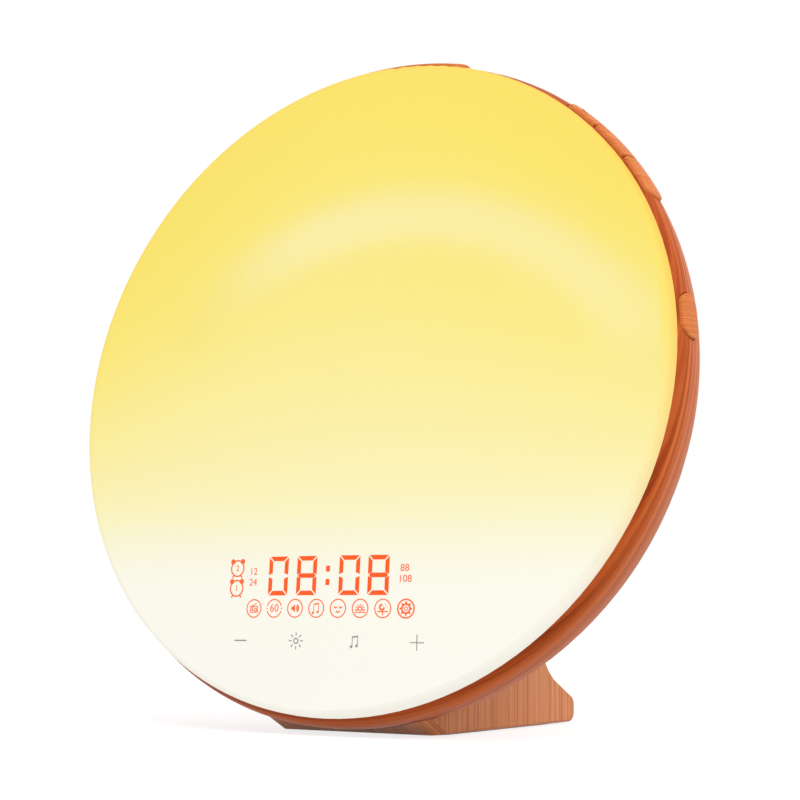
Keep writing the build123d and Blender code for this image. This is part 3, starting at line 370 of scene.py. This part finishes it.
def faceGlow(name):
    # colour of the lit face: deep yellow at the top, paler in arches, near white at the bottom
    finish, tree, shader = newFinish(name)
    x, y, z = splitPoint(tree, True)
    above = maths(tree, "MAXIMUM", maths(tree, "ADD", y, faceLight["archFoot"] * mm), 0.0)
    arch = times(tree, times(tree, x, x), times(tree, above, faceLight["archBend"]))
    reach = faceLight["reach"]
    level = maths(tree, "MULTIPLY_ADD", maths(tree, "ADD", y, arch), 1 / (2 * reach * mm), 0.5)
    stops = [((height + reach) / (2 * reach), toLinear(*shade))
             for height, shade in faceLight["shades"].items()]
    milk = ramp(tree, level, stops)
    away = times(tree, fromAxis(tree, x, y), 1 / (faceLight["edgeReach"] * mm))
    edge = ramp(tree, away, ((0.955, grey(1)), (0.974, (1, 0.96, 0.92)), (0.986, (1, 0.8, 0.68))))
    upper = ramp(tree, maths(tree, "MULTIPLY_ADD", y, 5.0, 0.5), ((0.1, grey(0)), (0.5, grey(1))))
    milk = blendColours(tree, upper, milk, blendColours(tree, 1.0, milk, edge, "MULTIPLY"))
    grainy = noise(tree, objectPoint(tree), 5200, 2.0)
    speckle = ramp(tree, grainy, ((0.3, grey(0.9)), (0.7, grey(1))))
    milk = blendColours(tree, 0.02, milk, speckle, "MULTIPLY")
    own = blendColours(tree, 1.0, milk, grey(faceLight["ownShare"]), "MULTIPLY")
    tree.links.new(own, shader.inputs["Base Color"])
    tree.links.new(milk, shader.inputs["Emission Color"])
    shader.inputs["Emission Strength"].default_value = faceLight["emission"]
    # glossy in front, softer on the rounded edge
    front, rounded = grey(faceLight["frontRoughness"]), grey(faceLight["edgeRoughness"])
    soften = ramp(tree, away, ((0.955, front), (0.968, rounded)))
    tree.links.new(soften, shader.inputs["Roughness"])
    shader.inputs["Specular IOR Level"].default_value = 0.25
    addBump(tree, shader, grainy, 0.03, 0.02 * mm)
    smoothMiddle(tree, shader, x, y, z)
    return finish


def mouldedPlastic(name, colour, roughness, dustScale=2600, bump=0.12, gloss=0.4):
    finish, tree, shader = newFinish(name)
    point = objectPoint(tree)
    dust = noise(tree, point, dustScale, 2.0)
    cloud = noise(tree, point, 60, 3.0)
    darker = tuple(channel * 0.86 for channel in colour)
    paler = tuple(min(1, channel * 1.08 + 0.004) for channel in colour)
    tree.links.new(ramp(tree, cloud, ((0.3, darker), (0.7, paler))), shader.inputs["Base Color"])
    rough = ramp(tree, dust, ((0.3, grey(roughness + 0.1)), (0.7, grey(roughness - 0.05))))
    tree.links.new(rough, shader.inputs["Roughness"])
    shader.inputs["Specular IOR Level"].default_value = gloss
    addBump(tree, shader, dust, bump, 0.08 * mm)
    return finish


def plainMetal(name, colour, roughness, stretch=(900, 900, 60)):
    finish, tree, shader = newFinish(name)
    brush = noise(tree, objectPoint(tree, stretch), 1.6, 4.0, 0.6)
    darker = tuple(channel * 0.78 for channel in colour)
    tree.links.new(ramp(tree, brush, ((0.3, darker), (0.7, colour))), shader.inputs["Base Color"])
    rough = ramp(tree, brush, ((0.3, grey(roughness + 0.14)), (0.7, grey(roughness))))
    tree.links.new(rough, shader.inputs["Roughness"])
    shader.inputs["Metallic"].default_value = 1.0
    addBump(tree, shader, brush, 0.15, 0.05 * mm)
    return finish


def lacqueredBoard(name, colour, trackColour):
    finish, tree, shader = newFinish(name)
    point = objectPoint(tree, inHead=True)
    bricks = addNode(tree, "ShaderNodeTexBrick", (-600, 200))
    bricks.inputs["Scale"].default_value = 130
    bricks.inputs["Mortar Size"].default_value = 0.035
    bricks.inputs["Mortar Smooth"].default_value = 0.1
    bricks.inputs["Color1"].default_value = (*colour, 1)
    bricks.inputs["Color2"].default_value = (*[channel * 0.85 for channel in colour], 1)
    bricks.inputs["Mortar"].default_value = (*trackColour, 1)
    tree.links.new(point, bricks.inputs["Vector"])
    cloud = noise(tree, point, 180, 3.0)
    patch = ramp(tree, cloud, ((0.47, grey(0)), (0.5, grey(1))))
    tree.links.new(blendColours(tree, patch, colour, bricks.outputs["Color"]), shader.inputs["Base Color"])
    shader.inputs["Roughness"].default_value = 0.35
    addBump(tree, shader, bricks.outputs["Fac"], 0.2, 0.05 * mm)
    return finish


def litFinish(name, colour, strength):
    finish, tree, shader = newFinish(name)
    cloud = noise(tree, objectPoint(tree), 900, 2.0)
    paler = tuple(min(1, channel + 0.01) for channel in colour)
    shade = ramp(tree, cloud, ((0.3, colour), (0.7, paler)))
    tree.links.new(blendColours(tree, 1.0, shade, grey(0.5), "MULTIPLY"), shader.inputs["Base Color"])
    tree.links.new(shade, shader.inputs["Emission Color"])
    shader.inputs["Emission Strength"].default_value = strength
    shader.inputs["Roughness"].default_value = 0.45
    shader.inputs["Specular IOR Level"].default_value = 0.2
    return finish


def weaveFinish(name, colour, scale, roughness):
    finish, tree, shader = newFinish(name)
    point = objectPoint(tree, inHead=True)
    warp = addNode(tree, "ShaderNodeTexWave", (-600, 200), bands_direction="X")
    weft = addNode(tree, "ShaderNodeTexWave", (-600, -100), bands_direction="Y")
    for wave in (warp, weft):
        wave.inputs["Scale"].default_value = scale
        wave.inputs["Distortion"].default_value = 0.4
        tree.links.new(point, wave.inputs["Vector"])
    weave = maths(tree, "MAXIMUM", warp.outputs["Fac"], weft.outputs["Fac"])
    paler = tuple(channel * 1.7 + 0.01 for channel in colour)
    tree.links.new(ramp(tree, weave, ((0.2, colour), (0.9, paler))), shader.inputs["Base Color"])
    shader.inputs["Roughness"].default_value = roughness
    addBump(tree, shader, weave, 0.6, 0.1 * mm)
    return finish


finishes = {
    "rimWood": woodFilm("rimWood", "rim", grainAround, (5, 5, 1250), 2.4, True),
    "footWood": woodFilm("footWood", "foot", grainUpright, (1500, 1900, 8), 2.6),
    "keyWood": woodFilm("keyWood", "keys", grainArched, (60, 900, 60), 3.0),
    "doorWood": woodFilm("doorWood", "rim", grainAround, (9, 9, 260), 5.5),
    "faceGlow": faceGlow("faceGlow"),
    "baseBrown": mouldedPlastic("baseBrown", (0.075, 0.038, 0.022), 0.5),
    "trayWhite": mouldedPlastic("trayWhite", (0.8, 0.79, 0.76), 0.45),
    "mattBlack": mouldedPlastic("mattBlack", (0.012, 0.012, 0.014), 0.5),
    "digitOrange": litFinish("digitOrange", toLinear(255, 92, 24), 0.58),
    "iconOrange": litFinish("iconOrange", toLinear(250, 108, 44), 0.55),
    "lampYellow": litFinish("lampYellow", (1.0, 0.72, 0.2), 0.9),
    "markGrey": mouldedPlastic("markGrey", toLinear(158, 160, 160), 0.5, 3000, 0.05),
    "boardWhite": lacqueredBoard("boardWhite", (0.75, 0.75, 0.72), (0.62, 0.62, 0.58)),
    "boardGreen": lacqueredBoard("boardGreen", (0.012, 0.085, 0.03), (0.03, 0.2, 0.07)),
    "greyFoam": mouldedPlastic("greyFoam", (0.05, 0.05, 0.055), 0.85, 1500, 0.6, 0.1),
    "blackFelt": weaveFinish("blackFelt", (0.01, 0.01, 0.01), 900, 0.9),
    "paperCone": mouldedPlastic("paperCone", (0.035, 0.032, 0.03), 0.8, 1800, 0.5, 0.15),
    "woundCopper": plainMetal("woundCopper", (0.72, 0.34, 0.16), 0.3, (60, 60, 2500)),
    "ferrite": mouldedPlastic("ferrite", (0.04, 0.04, 0.043), 0.55, 1600, 0.3),
    "plainSteel": plainMetal("plainSteel", (0.62, 0.62, 0.64), 0.28),
    "screwSteel": plainMetal("screwSteel", (0.52, 0.52, 0.54), 0.32, (700, 700, 700)),
    "soleRubber": weaveFinish("soleRubber", (0.014, 0.014, 0.014), 700, 0.85),
    "redWire": mouldedPlastic("redWire", (0.35, 0.012, 0.01), 0.4, 1200, 0.1),
}

wearing = {
    "rimWood": ["rear_housing"],
    "footWood": ["foot_shell"],
    "keyWood": ["snooze_bar", "radio_key", "alarm_one_key", "alarm_two_key", "lamp_key"],
    "doorWood": ["battery_door"],
    "faceGlow": ["diffuser"],
    "baseBrown": ["foot_cover"],
    "trayWhite": ["reflector_tray"],
    "mattBlack": ["display_frame", "board_chips", "key_switches", "snooze_plungers", "radio_plunger",
                  "alarm_one_plunger", "alarm_two_plunger", "lamp_plunger", "dc_jack"],
    "digitOrange": ["segment_lenses", "display_leds"],
    "lampYellow": ["light_leds"],
    "boardWhite": ["light_board"],
    "boardGreen": ["display_board", "main_board", "snooze_key_board", "strip_key_board", "lamp_key_board"],
    "greyFoam": ["touch_pads", "speaker_gasket"],
    "blackFelt": ["speaker_felt"],
    "paperCone": ["speaker_cone"],
    "woundCopper": ["speaker_coil"],
    "ferrite": ["speaker_magnet"],
    "plainSteel": ["usb_port", "coin_cell", "cell_contact", "speaker_frame", "foot_weight"],
    "screwSteel": ["case_screws", "foot_screws", "main_board_screws", "speaker_screws",
                   "light_board_screws", "display_screws", "foot_cover_screws"],
    "soleRubber": ["foot_sole"],
    "redWire": ["speaker_lead", "light_lead", "display_lead", "strip_key_lead", "lamp_key_lead",
                "snooze_key_lead"],
}
for finishName, wearers in wearing.items():
    for nodeName in wearers:
        slots = nodes[nodeName].data.materials
        slots.clear()
        slots.append(finishes[finishName])
print("finishes on", sum(len(wearers) for wearers in wearing.values()), "nodes")


# flat artwork, drawn in the face's own plane in millimetres from its middle, then laid on the dome
ink = {
    "lift": 0.03,               # mm above the dome
    "thick": 0.05,
    "gridStep": 1.6,            # mm between the cuts that let a flat shape follow the dome
    "weld": 0.001,
    "fontSize": 1.38,           # for figures of height 1
}


def pickAll():
    bpy.ops.mesh.select_all(action="SELECT")


def flatPlate(x, y, width, height, angle=0.0):
    bpy.ops.object.select_all(action="DESELECT")
    bpy.ops.mesh.primitive_plane_add(size=1, location=(x, y, 0), rotation=(0, 0, math.radians(angle)))
    bpy.context.object.scale = (width, height, 1)
    bpy.ops.object.transform_apply(location=True, rotation=True, scale=True)
    return bpy.context.object


def flatBar(start, end, width):
    # a stroke from one point to another
    run = Vector(end) - Vector(start)
    middle = (Vector(start) + Vector(end)) / 2
    return flatPlate(middle.x, middle.y, run.length, width, math.degrees(math.atan2(run.y, run.x)))


def flatDisc(x, y, radius, corners):
    bpy.ops.object.select_all(action="DESELECT")
    bpy.ops.mesh.primitive_circle_add(vertices=corners, radius=radius, fill_type="NGON", location=(x, y, 0))
    bpy.ops.object.transform_apply(location=True, rotation=True, scale=True)
    return bpy.context.object


def flatRing(x, y, radius, width, corners=40, cuts=()):
    # a ring from its middle line, with half planes cut away: (point, outward direction)
    bpy.ops.object.select_all(action="DESELECT")
    bpy.ops.mesh.primitive_circle_add(vertices=corners, radius=radius + width / 2, fill_type="NOTHING",
                                      location=(x, y, 0))
    bpy.ops.object.transform_apply(location=True, rotation=True, scale=True)
    bpy.ops.object.mode_set(mode="EDIT")
    pickAll()
    shrink = (radius - width / 2) / (radius + width / 2)
    bpy.ops.mesh.extrude_edges_move()
    bpy.ops.transform.resize(value=(shrink, shrink, 1), center_override=(x, y, 0))
    for place, direction in cuts:
        pickAll()
        bpy.ops.mesh.bisect(plane_co=(*place, 0), plane_no=(*direction, 0), clear_outer=True)
    bpy.ops.object.mode_set(mode="OBJECT")
    return bpy.context.object


def flatText(words, x, y, height):
    bpy.ops.object.select_all(action="DESELECT")
    bpy.ops.object.text_add(location=(0, 0, 0))
    text = bpy.context.object
    text.data.body = words
    text.data.align_x = "CENTER"
    text.data.align_y = "CENTER"
    text.data.size = height * ink["fontSize"]
    text.data.resolution_u = 4
    bpy.ops.object.convert(target="MESH")
    text = bpy.context.object
    text.location = (x, y, 0)
    bpy.ops.object.transform_apply(location=True, rotation=True, scale=True)
    return text


def joinFlat(name, parts):
    bpy.ops.object.select_all(action="DESELECT")
    for part in parts:
        part.select_set(True)
    bpy.context.view_layer.objects.active = parts[0]
    if len(parts) > 1:
        bpy.ops.object.join()
    joined = bpy.context.object
    joined.name = name
    joined.data.name = name
    return joined


def domeRise(x, y):
    ball = head["domeRadius"]
    return head["domeHeight"] - ball + math.sqrt(ball ** 2 - x ** 2 - y ** 2)


def layOnFace(piece, finish):
    # cut into small cells, moved on to the dome along the face's axis, given a thickness
    bpy.ops.object.select_all(action="DESELECT")
    piece.select_set(True)
    bpy.context.view_layer.objects.active = piece
    bpy.ops.object.mode_set(mode="EDIT")
    pickAll()
    bpy.ops.mesh.remove_doubles(threshold=ink["weld"])
    corners = [vertex.co.copy() for vertex in piece.data.vertices]
    for axis in (0, 1):
        low = min(corner[axis] for corner in corners)
        high = max(corner[axis] for corner in corners)
        cuts = int((high - low) / ink["gridStep"])
        for cut in range(1, cuts + 1):
            place, direction = [0, 0, 0], [0, 0, 0]
            place[axis] = low + (high - low) * cut / (cuts + 1)
            direction[axis] = 1
            pickAll()
            bpy.ops.mesh.bisect(plane_co=place, plane_no=direction)
    pickAll()
    bpy.ops.mesh.quads_convert_to_tris()
    bpy.ops.object.mode_set(mode="OBJECT")
    for vertex in piece.data.vertices:
        vertex.co.z = domeRise(vertex.co.x, vertex.co.y) + ink["lift"]
    bpy.ops.object.mode_set(mode="EDIT")
    pickAll()
    bpy.ops.mesh.normals_make_consistent(inside=False)
    bpy.ops.object.mode_set(mode="OBJECT")
    if sum(face.normal.z for face in piece.data.polygons) < 0:
        bpy.ops.object.mode_set(mode="EDIT")
        pickAll()
        bpy.ops.mesh.flip_normals()
        bpy.ops.object.mode_set(mode="OBJECT")
    piece.modifiers.new("film", "SOLIDIFY").thickness = ink["thick"]
    piece.modifiers["film"].offset = 1.0
    bpy.ops.object.modifier_apply(modifier="film")
    piece.matrix_world = headPlace @ Matrix.Scale(mm, 4)
    bpy.ops.object.transform_apply(location=True, rotation=True, scale=True)
    piece.data.materials.clear()
    piece.data.materials.append(finishes[finish])
    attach(piece, "clock")


digits = {
    "middle": -61.3,
    "places": (-15.6, -5.7, 8.7, 18.2),
    "shown": "0808",
    "width": 6.8,
    "height": 11.2,
    "stroke": 1.3,
    "gap": 0.3,
    "colon": 1.5,
    "colonRise": 1.9,
    "colonHeight": 1.7,
}


def strokePlate(points):
    # a plate pulled out to a stroke's corner points
    bpy.ops.object.select_all(action="DESELECT")
    bpy.ops.mesh.primitive_circle_add(vertices=len(points), radius=1, fill_type="NGON")
    plate = bpy.context.object
    for vertex, (x, y) in zip(plate.data.vertices, points):
        vertex.co = (x, y, 0)
    return plate


def digitStrokes(x, y, shown):
    across, up = digits["width"] / 2, digits["height"] / 2
    thick, gap = digits["stroke"], digits["gap"] / 2
    top = [(-across + 2 * gap, up), (across - 2 * gap, up),
           (across - thick - 2 * gap, up - thick), (-across + thick + 2 * gap, up - thick)]
    side = [(across, up - 2 * gap), (across, 2 * gap),
            (across - thick, thick / 2 + gap), (across - thick, up - thick - 2 * gap)]
    middle = [(-across + 2 * gap + thick / 2, thick / 2), (across - 2 * gap - thick / 2, thick / 2),
              (across - 2 * gap, 0), (across - 2 * gap - thick / 2, -thick / 2),
              (-across + 2 * gap + thick / 2, -thick / 2), (-across + 2 * gap, 0)]
    strokes = [[(a * flipX, b * flipY) for a, b in side] for flipX in (1, -1) for flipY in (1, -1)]
    strokes += [top, [(a, -b) for a, b in top]]
    if shown == "8":
        strokes.append(middle)
    return [strokePlate([(x + a, y + b) for a, b in points]) for points in strokes]


drawn = []
for x, shown in zip(digits["places"], digits["shown"]):
    drawn += digitStrokes(x, digits["middle"], shown)
for rise in (-digits["colonRise"], digits["colonRise"]):
    drawn.append(flatPlate(digits["colon"], digits["middle"] + rise, digits["stroke"], digits["colonHeight"]))
layOnFace(joinFlat("timeDigits", drawn), "digitOrange")
print("digits drawn")

marks = {
    "line": 0.42,
    "clockX": -30.6,
    "clocks": ((-58.9, "2"), (-64.7, "1")),
    "clockRadius": 2.3,
    "numberHeight": 1.8,
    "bellRadius": 0.8,
    "words": (("12", -24.6, -60.0), ("24", -24.6, -63.1), ("88", 26.5, -59.4), ("108", 26.7, -62.4)),
    "wordHeight": 2.1,
}
drawn = []
for y, number in marks["clocks"]:
    x, line = marks["clockX"], marks["line"]
    drawn.append(flatRing(x, y, marks["clockRadius"], line))
    drawn.append(flatText(number, x, y, marks["numberHeight"]))
    for side in (-1, 1):
        drawn.append(flatDisc(x + side * 1.8, y + 2.0, marks["bellRadius"], 16))
        drawn.append(flatBar((x + side * 1.2, y - 2.0), (x + side * 1.8, y - 2.7), line))
for words, x, y in marks["words"]:
    drawn.append(flatText(words, x, y, marks["wordHeight"]))
layOnFace(joinFlat("alarmMarks", drawn), "iconOrange")

icons = {
    "first": -23.8,
    "pitch": 7.3,
    "middle": -70.6,
    "radius": 2.7,
    "line": 0.32,
    "gap": 0.75,                # mm, half the break in the second ring
    "dotReach": 2.55,           # mm, to the dots in that break
    "dotRadius": 0.22,
}


def iconPlace(step):
    return icons["first"] + step * icons["pitch"], icons["middle"]


def rays(x, y, reach, line, angles):
    # strokes that point away from a middle
    near, far = reach
    parts = []
    for angle in angles:
        ray = Vector((math.cos(math.radians(angle)), math.sin(math.radians(angle))))
        parts.append(flatBar(Vector((x, y)) + ray * near, Vector((x, y)) + ray * far, line))
    return parts


def noteShape(x, y, size):
    # two beamed notes
    parts = []
    for side in (-1, 1):
        foot = (x + side * 0.42 * size, y - 0.62 * size + 0.06 * side * size)
        parts.append(flatDisc(foot[0] - 0.15 * size, foot[1], 0.2 * size, 16))
        parts.append(flatBar(foot, (foot[0], y + 0.62 * size + 0.06 * side * size), 0.1 * size))
    parts.append(flatBar((x - 0.47 * size, y + 0.58 * size), (x + 0.47 * size, y + 0.70 * size), 0.2 * size))
    return parts


def radioIcon(x, y, line):
    # a box with its aerial, dial and grille
    parts = [flatBar((x - 1.3, y + rise), (x + 1.3, y + rise), line) for rise in (0.55, -1.1)]
    parts += [flatBar((x + side, y - 1.2), (x + side, y + 0.65), line) for side in (-1.3, 1.3)]
    parts.append(flatBar((x - 1.0, y + 0.6), (x + 0.9, y + 1.35), line))
    parts.append(flatRing(x + 0.6, y - 0.4, 0.4, line, 20))
    for row in (0.15, -0.25, -0.65):
        parts.append(flatBar((x - 0.95, y + row), (x - 0.15, y + row), line))
    return parts


def speakerIcon(x, y, line):
    cone = [(x - 0.7, y + 0.45), (x + 0.05, y + 1.15), (x + 0.05, y - 1.15), (x - 0.7, y - 0.45)]
    parts = [flatPlate(x - 0.95, y, 0.6, 0.9), strokePlate(cone)]
    for radius in (0.75, 1.25):
        parts.append(flatRing(x, y, radius, line * 1.3, 32, (((x + radius * 0.62, y), (-1, 0)),)))
    return parts


def sleepIcon(x, y, line):
    # two closed eyes over a smile
    closed = (((x, y + 0.5), (0, 1)),)
    parts = [flatRing(x + side * 0.85, y + 0.55, 0.42, line, 24, closed) for side in (-1, 1)]
    parts.append(flatRing(x, y - 0.55, 0.55, line, 24, (((x, y - 0.65), (0, 1)),)))
    return parts


def sunriseIcon(x, y, line):
    parts = [flatRing(x, y - 0.35, 0.72, line, 32, (((x, y - 0.35), (0, -1)),))]
    parts += rays(x, y - 0.35, (1.05, 1.5), line, range(30, 151, 30))
    for row in (-0.55, -1.2):
        for step in range(-2, 2):
            left = x + step * 0.85
            rise = 0.22 if step % 2 else 0
            parts.append(flatBar((left, y + row + rise), (left + 0.85, y + row + 0.22 - rise), line))
    return parts


def moonIcon(x, y, line):
    parts = [flatRing(x - 0.25, y + 0.35, 0.72, 0.52, 32, (((x + 0.15, y + 0.62), (0.8, 0.6)),))]
    for a, b, size in ((0.85, 1.15, 0.2), (1.35, 0.45, 0.16), (0.6, 0.35, 0.13)):
        parts.append(flatDisc(x + a, y + b, size, 4))
    parts.append(flatBar((x - 1.7, y - 0.85), (x + 1.7, y - 0.85), line))
    parts.append(flatBar((x, y - 0.85), (x, y - 1.9), line))
    return parts


def gearIcon(x, y, line):
    parts = [flatRing(x, y, 2.55, 0.42, 48), flatRing(x, y, 1.25, 0.5, 40), flatRing(x, y, 0.5, 0.24, 24)]
    return parts + rays(x, y, (1.4, 1.95), 0.5, range(0, 360, 45))


line, ringRadius = icons["line"], icons["radius"] - icons["line"] / 2
drawn = []
for step in range(7):
    x, y = iconPlace(step)
    if step == 1:
        gap = icons["gap"]
        for cut in (((x, y + gap), (0, -1)), ((x, y - gap), (0, 1))):
            drawn.append(flatRing(x, y, ringRadius, line, 48, (cut,)))
        for side in (-1, 1):
            drawn.append(flatDisc(x + side * icons["dotReach"], y, icons["dotRadius"], 12))
    else:
        drawn.append(flatRing(x, y, ringRadius, line, 48))
drawn += radioIcon(*iconPlace(0), line * 0.8)
drawn.append(flatText("60", *iconPlace(1), 2.3))
drawn += speakerIcon(*iconPlace(2), line)
drawn += noteShape(*iconPlace(3), 1.9)
drawn += sleepIcon(*iconPlace(4), line * 1.2)
drawn += sunriseIcon(*iconPlace(5), line)
drawn += moonIcon(*iconPlace(6), line)
drawn += gearIcon(*iconPlace(7), line)
layOnFace(joinFlat("modeIcons", drawn), "iconOrange")
print("icons drawn")

touch = {
    "places": (-28.2, -8.4, 11.4, 31.0),
    "middle": -79.8,
    "line": 0.36,
    "reach": 2.2,
    "sunRadius": 0.72,
    "sunRays": (1.5, 2.4),
    "noteSize": 2.1,
}
minusX, sunX, noteX, plusX = touch["places"]
y, line, reach = touch["middle"], touch["line"], touch["reach"]
drawn = [flatBar((minusX - reach, y), (minusX + reach, y), line),
         flatBar((plusX - reach, y), (plusX + reach, y), line * 0.8),
         flatBar((plusX, y - reach), (plusX, y + reach), line * 0.8),
         flatRing(sunX, y, touch["sunRadius"], line, 28)]
drawn += rays(sunX, y, touch["sunRays"], line * 0.9, range(0, 360, 45))
drawn += noteShape(noteX, y, touch["noteSize"])
layOnFace(joinFlat("touchMarks", drawn), "markGrey")
print("touch marks drawn")


# a curved strip lamp: its reflection is the soft arch across the face
stripLamp = {
    "away": 600 * mm,
    "middle": (12, -52),
    "radius": 98.5,
    "wide": 15,
    "spread": (22, 138),        # degrees round the middle
    "cells": 36,
    "strength": 10.8,
    "colour": (0.06, 0.3, 1),
    "fade": ((0.0, 0), (0.2, 1), (0.7, 1), (1.0, 0)),
}


def mirrored(x, y):
    # where the camera's ray that meets the face at a point goes on to
    rise = domeRise(x, y)
    there = headPlace @ (Vector((x, y, rise)) * mm)
    outwards = Vector((x, y, rise + head["domeRadius"] - head["domeHeight"]))
    normal = (headPlace.to_3x3() @ outwards).normalized()
    ray = (there - camera.location).normalized()
    return there + (ray - 2 * ray.dot(normal) * normal) * stripLamp["away"]


bpy.ops.object.select_all(action="DESELECT")
bpy.ops.mesh.primitive_grid_add(x_subdivisions=stripLamp["cells"], y_subdivisions=1, size=1)
strip = bpy.context.object
strip.name = "stripLamp"
low, high = stripLamp["spread"]
for vertex in strip.data.vertices:
    turnBy = math.radians(low + (high - low) * (vertex.co.x + 0.5))
    radius = stripLamp["radius"] + stripLamp["wide"] * vertex.co.y
    middleX, middleY = stripLamp["middle"]
    vertex.co = mirrored(middleX + radius * math.cos(turnBy), middleY + radius * math.sin(turnBy))
stripFinish = bpy.data.materials.new("stripGlow")
stripFinish.use_nodes = True
tree = stripFinish.node_tree
tree.nodes.clear()
shine = addNode(tree, "ShaderNodeEmission", (0, 0))
shine.inputs["Color"].default_value = (*stripLamp["colour"], 1)
along = addNode(tree, "ShaderNodeSeparateXYZ", (-600, 0))
tree.links.new(addNode(tree, "ShaderNodeUVMap", (-800, 0)).outputs[0], along.inputs[0])
fade = ramp(tree, along.outputs[0], [(place, grey(share)) for place, share in stripLamp["fade"]], True)
tree.links.new(times(tree, fade, stripLamp["strength"]), shine.inputs["Strength"])
out = addNode(tree, "ShaderNodeOutputMaterial", (200, 0))
tree.links.new(shine.outputs[0], out.inputs[0])
strip.data.materials.append(stripFinish)
strip.visible_camera = False
strip.visible_diffuse = False
strip.visible_shadow = False
print("done with the pieces")
